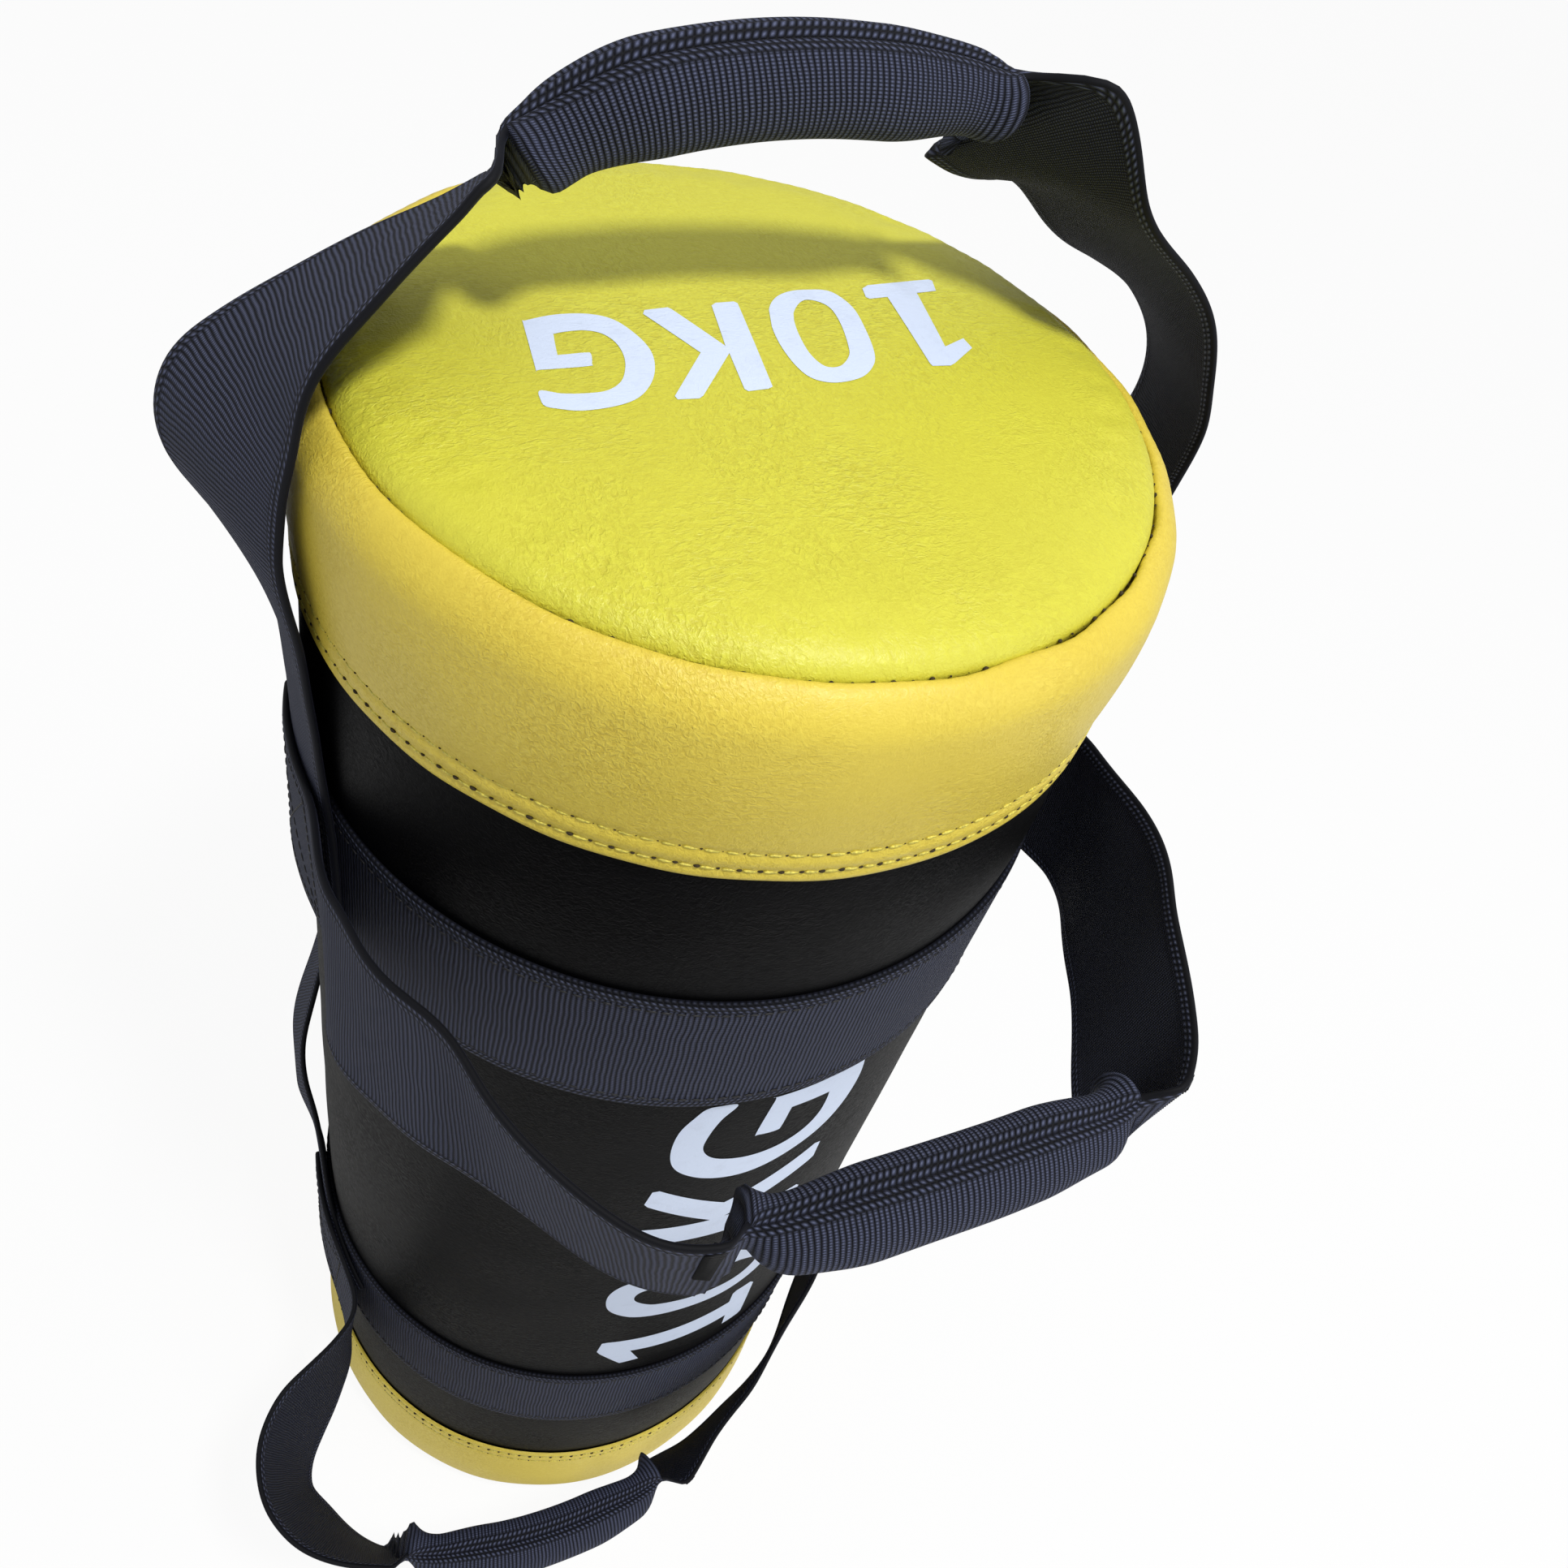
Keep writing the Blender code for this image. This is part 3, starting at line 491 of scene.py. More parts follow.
def plain_mesh(name, points, edges=(), faces=()):
    mesh = bpy.data.meshes.new(name)
    mesh.from_pydata(np.asarray(points).reshape(-1, 3).tolist(), list(edges), [list(face) for face in faces])
    return mesh


def vertex_places(mesh):
    found = np.zeros(len(mesh.vertices) * 3)
    mesh.vertices.foreach_get("co", found)
    return found.reshape(-1, 3)


def grid_faces(rows, columns, closed_rows, closed_columns):
    """Faces of a grid of points, with each corner's row and column counted on past the closing line."""
    row_steps = rows if closed_rows else rows - 1
    column_steps = columns if closed_columns else columns - 1
    i, j = np.meshgrid(np.arange(row_steps), np.arange(column_steps), indexing="ij")
    corner_rows = np.stack([i, i, i + 1, i + 1], axis=-1).reshape(-1, 4)
    corner_columns = np.stack([j, j + 1, j + 1, j], axis=-1).reshape(-1, 4)
    faces = (corner_rows % rows) * columns + corner_columns % columns
    return faces, corner_rows, corner_columns


def add_piece(name, points, faces, finishes, face_finishes=None, uv=None, sharp_degrees=None):
    """A mesh object at the origin, closed where points meet, facing outwards."""
    mesh = plain_mesh(name, points, faces=faces)
    for finish in finishes:
        mesh.materials.append(finish_of(finish))
    if face_finishes is not None:
        mesh.polygons.foreach_set("material_index", face_finishes)
    if uv is not None:
        layer = mesh.uv_layers.new(name=WEBBING_UV)
        layer.data.foreach_set("uv", np.asarray(uv, dtype=np.float32).ravel())
    form = bmesh.new()
    form.from_mesh(mesh)
    bmesh.ops.remove_doubles(form, verts=form.verts, dist=0.001 * MM)
    bmesh.ops.recalc_face_normals(form, faces=form.faces)
    form.to_mesh(mesh)
    form.free()
    mesh.shade_smooth()
    if sharp_degrees is not None:
        mesh.set_sharp_from_angle(angle=math.radians(sharp_degrees))
    return linked(name, mesh)


def turned_points(outline, steps, shape=None):
    """Points of an outline of (radius, height) turned about Z, then moved by shape where it is given."""
    outline = np.array(outline)
    angles = np.arange(steps) * math.tau / steps
    radius = np.repeat(outline[:, :1], steps, axis=1)
    height = np.repeat(outline[:, 1:], steps, axis=1)
    angle = np.repeat(angles[None, :], len(outline), axis=0)
    if shape is not None:
        radius, height = shape(angle, radius, height)
    return np.stack([radius * np.cos(angle), radius * np.sin(angle), height], axis=-1)


def band_outline():
    """Outside of a cap band from its cut edge to the turned seam, then back down its inside."""
    thickness = bpy.context.scene.sandbag_sizes.leather
    bulge = bpy.context.scene.sandbag_sizes.band_bulge
    tall = TOP_SEAM - TOP_EDGE
    outer = [(BAND_RADIUS - thickness * 0.75, 0.0), (BAND_RADIUS - thickness * 0.3, 0.0)]
    outer += [(BAND_RADIUS - 0.1 * MM, 0.3 * MM)]
    span = tall - 15 * MM
    for height in np.arange(1.0, tall / MM - 15, 0.8) * MM:
        out = bulge * math.sin(math.pi * min(max((height - 10 * MM) / (span + 6 * MM), 0), 1)) ** 1.2
        out -= 0.35 * MM * sum(float(bell(height, row, 1.1 * MM)) for row in LAP_ROWS)
        out += 0.2 * MM * float(bell(height, sum(LAP_ROWS) / 2, 1.6 * MM))
        outer.append((BAND_RADIUS + out, height))
    shoulder = [(1.0, 13.0), (0.9, 11.4), (0.65, 9.6), (0.2, 7.8), (-0.5, 6.1), (-1.4, 4.6), (-2.5, 3.2)]
    shoulder += [(-3.6, 2.1), (-4.6, 1.3), (-5.5, 0.75), (-6.3, 0.5), (-7.0, 0.55), (-7.5, 0.95), (-7.7, 1.7)]
    shoulder += [(-7.7, 6.0)]
    outer += [(BAND_RADIUS + out * MM, tall - down * MM) for out, down in shoulder]
    inner = [(BAND_RADIUS - 9.2 * MM, tall - 6.0 * MM), (BAND_RADIUS - 6 * MM, tall - 7 * MM)]
    inner += [(BAND_RADIUS - thickness * 1.4, tall - 14 * MM), (BAND_RADIUS - thickness, 12 * MM)]
    return np.array(outer + inner)


def band_shape(seed, upside_down):
    """Puckers at the stitches and the seam, and slow unevenness, on a cap band."""
    slow = unevenness(seed, 5, 60)
    quick = unevenness(seed + 1, 23, 110)
    tall = TOP_SEAM - TOP_EDGE

    def shape(angle, radius, height):
        stitch = np.cos(angle * SEAM_STITCHES)
        rows = sum(bell(height, row, 1.5 * MM) for row in LAP_ROWS)
        seam = bell(height, tall - 1.5 * MM, 3.5 * MM)
        free = smooth_step(height, 4 * MM, 16 * MM)
        moved = radius + 0.16 * MM * stitch * rows
        moved += seam * (0.05 * MM * stitch + 0.16 * MM * quick(angle, height))
        moved += free * (0.35 * MM * slow(angle, height) + 0.12 * MM * quick(angle, height))
        lifted = height + 0.35 * MM * slow(angle, 0) * bell(height, tall, 6 * MM)
        lifted += 0.22 * MM * quick(angle, 0) * bell(height, 0, 3 * MM)
        return moved, LOW_EDGE - lifted if upside_down else TOP_EDGE + lifted

    return shape


def even_disc_grid(per_side):
    """Points of a square grid mapped evenly to the unit disc, and its faces."""
    line = np.linspace(-1, 1, per_side + 1)
    a, b = np.meshgrid(line, line, indexing="ij")
    along_a = np.abs(a) >= np.abs(b)
    radius = np.where(along_a, a, b)
    with np.errstate(divide="ignore", invalid="ignore"):
        turn = np.where(along_a, math.pi / 4 * b / a, math.pi / 2 - math.pi / 4 * a / b)
    turn = np.nan_to_num(turn)
    points = np.stack([radius * np.cos(turn), radius * np.sin(turn)], axis=-1)
    faces, _, _ = grid_faces(per_side + 1, per_side + 1, False, False)
    return points.reshape(-1, 2), faces


def puffed(points, faces, held, pressure, frames, most):
    """A leather sheet pushed out by its padding: cloth held at its rim, with each point's move capped."""
    mesh = plain_mesh("sheet", points, faces=faces)
    sheet = linked("sheet", mesh)
    group = sheet.vertex_groups.new(name="held")
    group.add([int(i) for i in np.flatnonzero(held)], 1.0, "REPLACE")
    cloth = sheet.modifiers.new("Cloth", "CLOTH")
    cloth.settings.quality = 6
    cloth.settings.mass = 0.3
    cloth.settings.tension_stiffness = 20
    cloth.settings.compression_stiffness = 20
    cloth.settings.bending_stiffness = 0.4
    cloth.settings.shrink_min = -0.006
    cloth.settings.vertex_group_mass = "held"
    cloth.settings.use_pressure = True
    cloth.settings.uniform_pressure_force = pressure
    cloth.settings.effector_weights.gravity = 0
    cloth.collision_settings.use_collision = False
    cloth.point_cache.frame_start = 1
    cloth.point_cache.frame_end = frames
    for number in range(1, frames + 1):
        bpy.context.scene.frame_set(number)
    move = vertex_places(evaluated(sheet).data) - points
    length = np.linalg.norm(move, axis=1, keepdims=True)
    move *= np.minimum(1, most / np.maximum(length, 1e-9))
    bpy.data.objects.remove(sheet)
    bpy.data.meshes.remove(mesh)
    bpy.context.scene.frame_set(1)
    return points + move


def subdivided(points, faces):
    """The sheet with each face made four, on a smooth surface."""
    made = linked("finer", plain_mesh("finer", points, faces=faces))
    finer = made.modifiers.new("Subdivision", "SUBSURF")
    finer.levels = 1
    finer.render_levels = 1
    result = bpy.data.meshes.new_from_object(evaluated(made))
    bpy.data.objects.remove(made)
    return vertex_places(result), np.array([list(face.vertices) for face in result.polygons])


def disc_heights(reach, upside_down):
    """Height of an end disc above its rim, before it is puffed up, for a distance from the axis."""
    if upside_down:
        return RIM_LIFT * (1 - smooth_step(reach, 76 * MM, DISC_RIM))
    return (DOME_TOP - TOP_SEAM - 4.3 * MM) * (1 - (np.minimum(reach, DISC_RIM) / DISC_RIM) ** 2)


def build_end_disc(name, node, upside_down, seed):
    """A leather disc puffed up by the padding, whose rim rolls down into the seam."""
    flat, faces = even_disc_grid(SEAM_STITCHES // 2)
    reach = np.linalg.norm(flat, axis=1)
    points = np.column_stack([flat * DISC_RIM, disc_heights(reach * DISC_RIM, upside_down)])
    held = reach > 0.999
    if not upside_down:
        points = puffed(points, faces[:, ::-1], held, 2.0, 16, 1.2 * MM)
    points, faces = subdivided(points, faces)
    slow = unevenness(seed, 4, 0)
    quick = unevenness(seed + 1, 31, 0, count=22)
    reach = np.linalg.norm(points[:, :2], axis=1)
    angle = np.arctan2(points[:, 1], points[:, 0])
    on_rim = reach > DISC_RIM - 0.4 * MM
    points[on_rim, :2] *= (DISC_RIM / reach[on_rim])[:, None]
    points[on_rim, 2] = 0
    near = np.exp(-(DISC_RIM - reach) / (7 * MM))
    points[:, 2] += near * 0.10 * MM * quick(angle, 0) * (~on_rim)
    points[:, 2] += 0.3 * MM * slow(angle, 0) * (reach / DISC_RIM) * (~on_rim) * (0 if upside_down else 1)

    roll = [(91.4, -0.45), (92.7, -1.1), (93.8, -1.9), (94.7, -2.8), (95.3, -3.7), (95.7, -4.7), (95.8, -6.8)]
    roll += [(94.6, -8.0)]

    def roll_shape(turn, radius, height):
        fade = smooth_step(radius, DISC_RIM, 92 * MM) * (height > -9 * MM)
        stitch = np.cos(turn * SEAM_STITCHES)
        return radius, height + fade * (0.06 * MM * stitch + 0.14 * MM * quick(turn, 0))

    rim_ids = np.flatnonzero(on_rim)
    rim_ids = rim_ids[np.argsort(np.mod(angle[rim_ids] + 1e-6, math.tau))]
    ring_points = turned_points(np.array(roll) * MM, len(rim_ids), roll_shape)
    first = len(points)
    rings = np.vstack([rim_ids[None, :], first + np.arange(ring_points[..., 0].size).reshape(len(roll), -1)])
    steps, _, _ = grid_faces(len(rings), rings.shape[1], False, True)
    rolled_faces = rings.ravel()[steps]
    points = np.vstack([points, ring_points.reshape(-1, 3)])
    if upside_down:
        points[:, 2] *= -1
    points[:, 2] += RIM_LIFT if upside_down else TOP_SEAM + RIM_LIFT
    made = add_piece(name, points, faces.tolist() + rolled_faces.tolist(), ["Lime faux leather"])
    wall = made.modifiers.new("Thickness", "SOLIDIFY")
    wall.thickness = bpy.context.scene.sandbag_sizes.leather
    wall.offset = -1
    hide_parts(node)
    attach(made, "bag")
    return made


class SandbagEndDiscs(bpy.types.Operator):
    """Builds the two round leather ends"""

    bl_idname = "sandbag.end_discs"
    bl_label = "End discs"

    def execute(self, context):
        build_end_disc("top_disc_leather", "top_end_disc", False, 11)
        build_end_disc("bottom_disc_leather", "bottom_end_disc", True, 17)
        return {"FINISHED"}


class SandbagCapBands(bpy.types.Operator):
    """Builds the two yellow bands that close the ends of the cover"""

    bl_idname = "sandbag.cap_bands"
    bl_label = "Cap bands"

    def execute(self, context):
        outline = band_outline()
        for name, node, upside_down, seed in (
            ("top_band_leather", "top_cap_band", False, 3),
            ("bottom_band_leather", "bottom_cap_band", True, 5),
        ):
            points = turned_points(outline, ROUND_STEPS, band_shape(seed, upside_down))
            faces, _, _ = grid_faces(len(outline), ROUND_STEPS, True, True)
            made = add_piece(name, points, faces, ["Warm yellow faux leather"], sharp_degrees=70)
            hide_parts(node)
            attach(made, "bag")
        return {"FINISHED"}


class SandbagCover(bpy.types.Operator):
    """Builds the black leather body between the bands"""

    bl_idname = "sandbag.cover"
    bl_label = "Body cover"

    def execute(self, context):
        sizes = context.scene.sandbag_sizes
        heights = np.arange(COVER_LOW, COVER_HIGH, 2.5 * MM)
        outline = [(COVER_RADIUS, height) for height in heights] + [(COVER_RADIUS, COVER_HIGH)]
        inner = COVER_RADIUS - sizes.leather
        outline += [(inner, COVER_HIGH), (inner, COVER_LOW)]
        slow = unevenness(21, 5, 30)
        quick = unevenness(22, 16, 160)
        stops = [LOW_EDGE]
        for name in ("lower_belt", "upper_belt"):
            stops += [BELT_MIDDLES[name] - BELT_HALF, BELT_MIDDLES[name] + BELT_HALF]
        stops.append(TOP_EDGE)

        def shape(angle, radius, height):
            moved = radius.copy()
            for low, high in zip(stops[0::2], stops[1::2]):
                share = np.clip((height - low) / (high - low), 0, 1)
                puff = np.sin(math.pi * share) ** 0.5
                size = sizes.cover_bulge * (1 + 0.25 * slow(angle, height))
                moved += puff * (size + 0.12 * MM * quick(angle, height))
            moved[-2:] = radius[-2:]
            return moved, height

        points = turned_points(outline, COVER_STEPS, shape)
        faces, _, _ = grid_faces(len(outline), COVER_STEPS, True, True)
        made = add_piece("cover_leather", points, faces, ["Black faux leather"], sharp_degrees=60)
        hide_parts("body_cover")
        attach(made, "bag")
        return {"FINISHED"}


def selvedge_beads(across, half, height):
    """Rise of the braided rows along both edges of a webbing."""
    beads = height * np.abs(np.sin((half - np.abs(across)) / SELVEDGE_ROW * math.pi))
    return beads * (np.abs(across) > half - SELVEDGE)


class SandbagBelts(bpy.types.Operator):
    """Builds the two webbing belts round the cover"""

    bl_idname = "sandbag.belts"
    bl_label = "Webbing belts"

    def execute(self, context):
        thick = BELT_OUTER - COVER_RADIUS - 0.1 * MM
        for number, (node, middle) in enumerate(BELT_MIDDLES.items()):
            across = np.linspace(-BELT_HALF, BELT_HALF, 41)
            outer = np.column_stack([BELT_OUTER + selvedge_beads(across, BELT_HALF, 0.12 * MM), across])
            edge = [(BELT_OUTER - thick / 2, BELT_HALF + 0.3 * MM), (BELT_OUTER - thick, BELT_HALF)]
            inner = np.vstack([edge, edge[::-1] * np.array((1, -1))])
            outline = np.vstack([outer, inner])
            slow = unevenness(31 + number, 7, 40)

            def shape(angle, radius, height):
                return radius + 0.12 * MM * slow(angle, height), middle + height + 0.35 * MM * slow(angle, 0)

            points = turned_points(outline, COVER_STEPS, shape)
            faces, rows, columns = grid_faces(len(outline), COVER_STEPS, True, True)
            sides = np.append(outline[:, 1], outline[0, 1])
            uv = np.stack([columns * math.tau * BELT_OUTER / COVER_STEPS, sides[rows]], axis=-1)
            finishes = ["Navy webbing, ribbed face"]
            made = add_piece(node + "_webbing", points, faces, finishes, uv=uv, sharp_degrees=70)
            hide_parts(node)
            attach(made, "bag")
        return {"FINISHED"}


def curve_through(rows, steps_between):
    """Even steps along a smooth curve through each row of a table."""
    rows = np.array(rows, dtype=float)
    padded = np.vstack([2 * rows[0] - rows[1], rows, 2 * rows[-1] - rows[-2]])
    found = [rows[0]]
    for before, start, end, after in zip(padded, padded[1:], padded[2:], padded[3:]):
        for step in range(1, steps_between + 1):
            t = step / steps_between
            curve = 2 * start + (end - before) * t
            curve = curve + (2 * before - 5 * start + 4 * end - after) * t**2
            curve = curve + (3 * start - before - 3 * end + after) * t**3
            found.append(curve / 2)
    return np.array(found)


def strap_stations(name):
    """Even stations along a handle: place to the side and outwards, lean and roll, and length so far."""
    _, side, reach, *_ = HANDLES[name]
    rows = curve_through([row + (0,) * (5 - len(row)) for row in ROUTES[name]], 12)
    rows[:, 0] *= side
    rows[:, 1] *= reach
    first = rows[0].copy()
    last = rows[-1].copy()
    first[1] -= SEWN_END
    last[1] -= SEWN_END
    rows = np.vstack([first, rows, last])
    length = np.append(0, np.cumsum(np.linalg.norm(np.diff(rows[:, :2], axis=0), axis=1)))
    count = int(length[-1] / STATION_STEP)
    even = np.linspace(0, length[-1], count + 1)
    stations = np.column_stack([np.interp(even, length, column) for column in rows.T])
    for column, spread in enumerate(ROUTE_SMOOTHING):
        window = np.exp(-((np.arange(-6, 7) / spread) ** 2))
        ends = np.pad(stations[:, column], 6, mode="reflect", reflect_type="odd")
        stations[:, column] = np.convolve(ends, window / window.sum(), mode="valid")
    chance = np.random.default_rng(sum(ord(letter) for letter in name))
    free = smooth_step(even, *WAVY_FROM) * smooth_step(length[-1] - even, *WAVY_FROM)
    for wave_length, lean in ((0.11, 2.2), (0.047, 1.2)):
        stations[:, 2] += lean * free * np.sin(even * math.tau / wave_length + chance.uniform(0, math.tau))
    return stations, even


def grip_outline(half):
    """A closed rounded outline, taller than wide, as a function of the way round it from the fold line."""
    turn = np.linspace(0, math.tau, 721)
    shape = np.column_stack([np.sin(turn), -np.cos(turn)]) * (GRIP_HALF_DEPTH, GRIP_HALF_HEIGHT)
    shape[:, 0] *= 1 - 0.10 * shape[:, 1] / GRIP_HALF_HEIGHT
    way = np.append(0, np.cumsum(np.linalg.norm(np.diff(shape, axis=0), axis=1)))
    scale = (2 * half + 0.5 * MM) / way[-1]
    shape = shape * scale
    way = way * scale

    def place(distance):
        distance = np.mod(distance, way[-1])
        return np.column_stack([np.interp(distance, way, shape[:, 0]), np.interp(distance, way, shape[:, 1])])

    return place


def rolled_line(half, distance, roll):
    """A line that leaves its held edge straight ahead and rolls up from its far end."""
    fine = np.linspace(0, 2 * half, 401)
    straight = 2 * half * (1 - roll)
    bend = smooth_step(fine, straight - 4 * MM, straight + 4 * MM) * math.tau / (2 * half)
    bend = bend * (2.6 - 1.6 * roll)
    step = half / 200
    angle = np.append(0, np.cumsum((bend[1:] + bend[:-1]) / 2)) * step
    run = np.append(0, np.cumsum(np.cos((angle[1:] + angle[:-1]) / 2))) * step
    rise = np.append(0, np.cumsum(np.sin((angle[1:] + angle[:-1]) / 2))) * step
    return np.column_stack([np.interp(distance, fine, run), np.interp(distance, fine, rise)])


def section_line(across, roll, slide):
    """Middle line across the webbing from its held edge, rolled up round its core, and the roll's middle."""
    half = STRAP_HALF * (1 + (GRIP_FULLNESS - 1) * roll)
    wide = across * half / STRAP_HALF
    line = rolled_line(half, wide + half, roll)
    closed = grip_outline(half)(wide + slide)
    ahead = closed[1] - closed[0]
    ahead /= np.linalg.norm(ahead)
    turned = np.array([[ahead[0], -ahead[1]], [ahead[1], ahead[0]]])
    groove = bell(STRAP_HALF - np.abs(across), 0, 1.6 * MM) * 0.9 * MM
    length = np.linalg.norm(closed, axis=1, keepdims=True)
    middle = -closed[0] @ turned
    closed = (closed - closed / np.maximum(length, 1e-9) * groove[:, None]) @ turned + middle
    closing = float(smooth_step(roll, 0.6, 1.0))
    return line * (1 - closing) + closed * closing, middle


def section_ways(angle):
    """The ways towards the upper edge and towards the inside of webbing that leans by this angle."""
    return np.array([math.sin(angle), math.cos(angle)]), np.array([-math.cos(angle), math.sin(angle)])


def rounded_edge(place, way, left, half):
    """Three points round one edge of the webbing."""
    bulge = way * half
    return [place + bulge * 0.8 - left * half * 0.6, place + bulge, place + bulge * 0.8 + left * half * 0.6]


def strap_sections(name):
    """World points round each station's section, with the share of the way along and across for each."""
    *_, held, slide, _ = HANDLES[name]
    stations, even = strap_stations(name)
    runs = np.gradient(stations[:, :2], axis=0)
    runs /= np.linalg.norm(runs, axis=1)[:, None]
    across = STRAP_HALF * np.linspace(-1, 1, ACROSS_POINTS)
    half = STRAP_THICKNESS / 2
    thick = half + selvedge_beads(across, STRAP_HALF, 0.25 * MM)
    sections = []
    grip = np.flatnonzero(stations[:, 3] > 0.995)
    grip_lean = math.radians(stations[int(grip.mean()), 2])
    legs = (stations[:grip[0]], stations[:grip[-1]:-1])
    flat_leans = [math.radians(np.interp(0.02, leg[:, 3], leg[:, 2])) for leg in legs]

    for number, ((x, s, lean, roll, drop), (run_x, run_s)) in enumerate(zip(stations, runs)):
        roll = min(max(roll, 0), 1)
        lean = math.radians(lean)
        over_way, inner_way = section_ways(lean)
        line, middle = section_line(across, roll, slide)
        inside = min(even[number] - even[grip[0]], even[grip[-1]] - even[number])
        slimmer = 1 - roll * GRIP_TAPER * (1 - float(smooth_step(inside, 0, GRIP_TAPER_RUN)))
        line, middle = line * slimmer, middle * slimmer
        if held > 0:
            line = line[::-1] * (-1, 1)
            middle = middle * (-1, 1)
        flat_lean = lean if roll < 0.02 else flat_leans[int(number > grip.mean())]
        flat_place = section_ways(flat_lean)[0] * STRAP_HALF * held + (0, drop * MM)
        grip_place = -middle @ np.array(section_ways(grip_lean))
        settled = float(smooth_step(roll, 0.0, 1.0))
        held_place = flat_place * (1 - settled) + grip_place * settled
        way = np.gradient(line, axis=0)
        way /= np.linalg.norm(way, axis=1)[:, None]
        left = np.column_stack([-way[:, 1], way[:, 0]])
        outer = line - left * thick[:, None]
        inner = line + left * thick[:, None]
        right_edge = rounded_edge(line[-1], way[-1], left[-1], half)
        left_edge = rounded_edge(line[0], -way[0], -left[0], half)
        ring = np.vstack([outer, right_edge, inner[::-1], left_edge])
        flat = ring[:, :1] * over_way + ring[:, 1:] * inner_way + held_place
        sections.append(np.column_stack([x - flat[:, 0] * run_s, s + flat[:, 0] * run_x, flat[:, 1]]))
    sides = np.concatenate([across, [STRAP_HALF] * 3, across[::-1], [-STRAP_HALF] * 3])
    return in_world(np.array(sections), name), even, sides


def in_world(points, name):
    """Points given to the side, outwards and across the loop, placed on the bag and bent round its belt."""
    belt, side, _, raised, *_ = HANDLES[name]
    angle = math.radians(raised)
    x, s, a = points[..., 0], points[..., 1], points[..., 2]
    y = -s * math.cos(angle) + a * math.sin(angle)
    z = BELT_MIDDLES[belt] + s * math.sin(angle) + a * math.cos(angle)
    wrapped = 1 - smooth_step(s, 8 * MM, WRAP_REACH)
    inwards = side - np.sqrt(side**2 - np.minimum(np.abs(y), WRAP_REACH) ** 2)
    x = x - np.sign(x) * inwards * wrapped
    return np.stack([x, y, z], axis=-1)


class SandbagHandles(bpy.types.Operator):
    """Builds the four webbing handles, each folded round its core at the grip"""

    bl_idname = "sandbag.handles"
    bl_label = "Webbing handles"

    def execute(self, context):
        for name, (belt, _, _, raised, *_) in HANDLES.items():
            points, even, sides = strap_sections(name)
            rows, columns = points.shape[:2]
            faces, corner_rows, corner_columns = grid_faces(rows, columns, False, True)
            wide = np.append(sides, sides[0])
            uv = np.stack([even[corner_rows], wide[corner_columns]], axis=-1).reshape(-1, 2)
            inner_start = ACROSS_POINTS + 3
            column = corner_columns[:, 0]
            inner = (column >= inner_start) & (column < inner_start + ACROSS_POINTS - 1)
            finishes = inner.astype(int).tolist()
            faces = faces.tolist()
            for row in (0, rows - 1):
                first = row * columns
                for j in range(ACROSS_POINTS - 1):
                    back = inner_start + ACROSS_POINTS - 1 - j
                    faces.append([first + j, first + j + 1, first + back - 1, first + back])
                    finishes.append(0)
                    uv = np.vstack([uv, [(even[row], sides[j])] * 4])
            made = add_piece(
                name + "_webbing",
                points,
                faces,
                ["Navy webbing, ribbed face", "Navy webbing, inner face"],
                face_finishes=finishes,
                uv=uv,
            )
            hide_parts(name + "_strap")
            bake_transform(made)
        return {"FINISHED"}


def sewing_tree(name, thread_run):
    """A tree that sews along a path: single stitches a pitch apart, or one unbroken thread."""
    tree = bpy.data.node_groups.new(name, "GeometryNodeTree")
    w = Wiring(tree)
    wanted = [("Length", 3.5 * MM), ("Thickness", 0.75 * MM)]
    if not thread_run:
        wanted = [("Pitch", 4.2 * MM), *wanted, ("Smallest", 0.9), ("Largest", 1.1)]
    tree.interface.new_socket("Geometry", in_out="INPUT", socket_type="NodeSocketGeometry")
    for label, default in wanted:
        socket = tree.interface.new_socket(label, in_out="INPUT", socket_type="NodeSocketFloat")
        socket.default_value = default
    tree.interface.new_socket("Seed", in_out="INPUT", socket_type="NodeSocketInt")
    tree.interface.new_socket("Material", in_out="INPUT", socket_type="NodeSocketMaterial")
    tree.interface.new_socket("Geometry", in_out="OUTPUT", socket_type="NodeSocketGeometry")
    given = tree.nodes.new("NodeGroupInput").outputs
    path = w.add("GeometryNodeMeshToCurve", {0: given["Geometry"]})
    if thread_run:
        radius = w.math("MULTIPLY", given["Thickness"], 0.5)
        ring = w.add("GeometryNodeCurvePrimitiveCircle", {"Resolution": 6, "Radius": radius})
        placed = w.add("GeometryNodeCurveToMesh", {"Curve": path, "Profile Curve": ring, "Fill Caps": True})
    else:
        spaced = w.add("GeometryNodeResampleCurve", {"Curve": path, "Length": given["Pitch"]}, mode="LENGTH")
        bead = w.add("GeometryNodeMeshUVSphere", {"Segments": 8, "Rings": 5, "Radius": 0.5})
        size = {0: given["Length"], 1: given["Thickness"], 2: given["Thickness"]}
        size = w.add("ShaderNodeCombineXYZ", size)
        bead = w.add("GeometryNodeTransform", {"Geometry": bead, "Scale": size})
        tangent = w.add("GeometryNodeInputTangent")
        turned = w.add("FunctionNodeAlignRotationToVector", {"Vector": tangent}, axis="X")
        chance = {2: given["Smallest"], 3: given["Largest"], 8: given["Seed"]}
        scale = w.add("FunctionNodeRandomValue", chance, give=1, data_type="FLOAT")
        beads = {"Points": spaced, "Instance": bead, "Rotation": turned, "Scale": scale}
        placed = w.add("GeometryNodeInstanceOnPoints", beads)
    plain = w.add("GeometryNodeRealizeInstances", {0: placed})
    soft = w.add("GeometryNodeSetShadeSmooth", {0: plain})
    done = w.add("GeometryNodeSetMaterial", {"Geometry": soft, "Material": given["Material"]})
    result = tree.nodes.new("NodeGroupOutput")
    tree.links.new(done, result.inputs[0])
    return tree


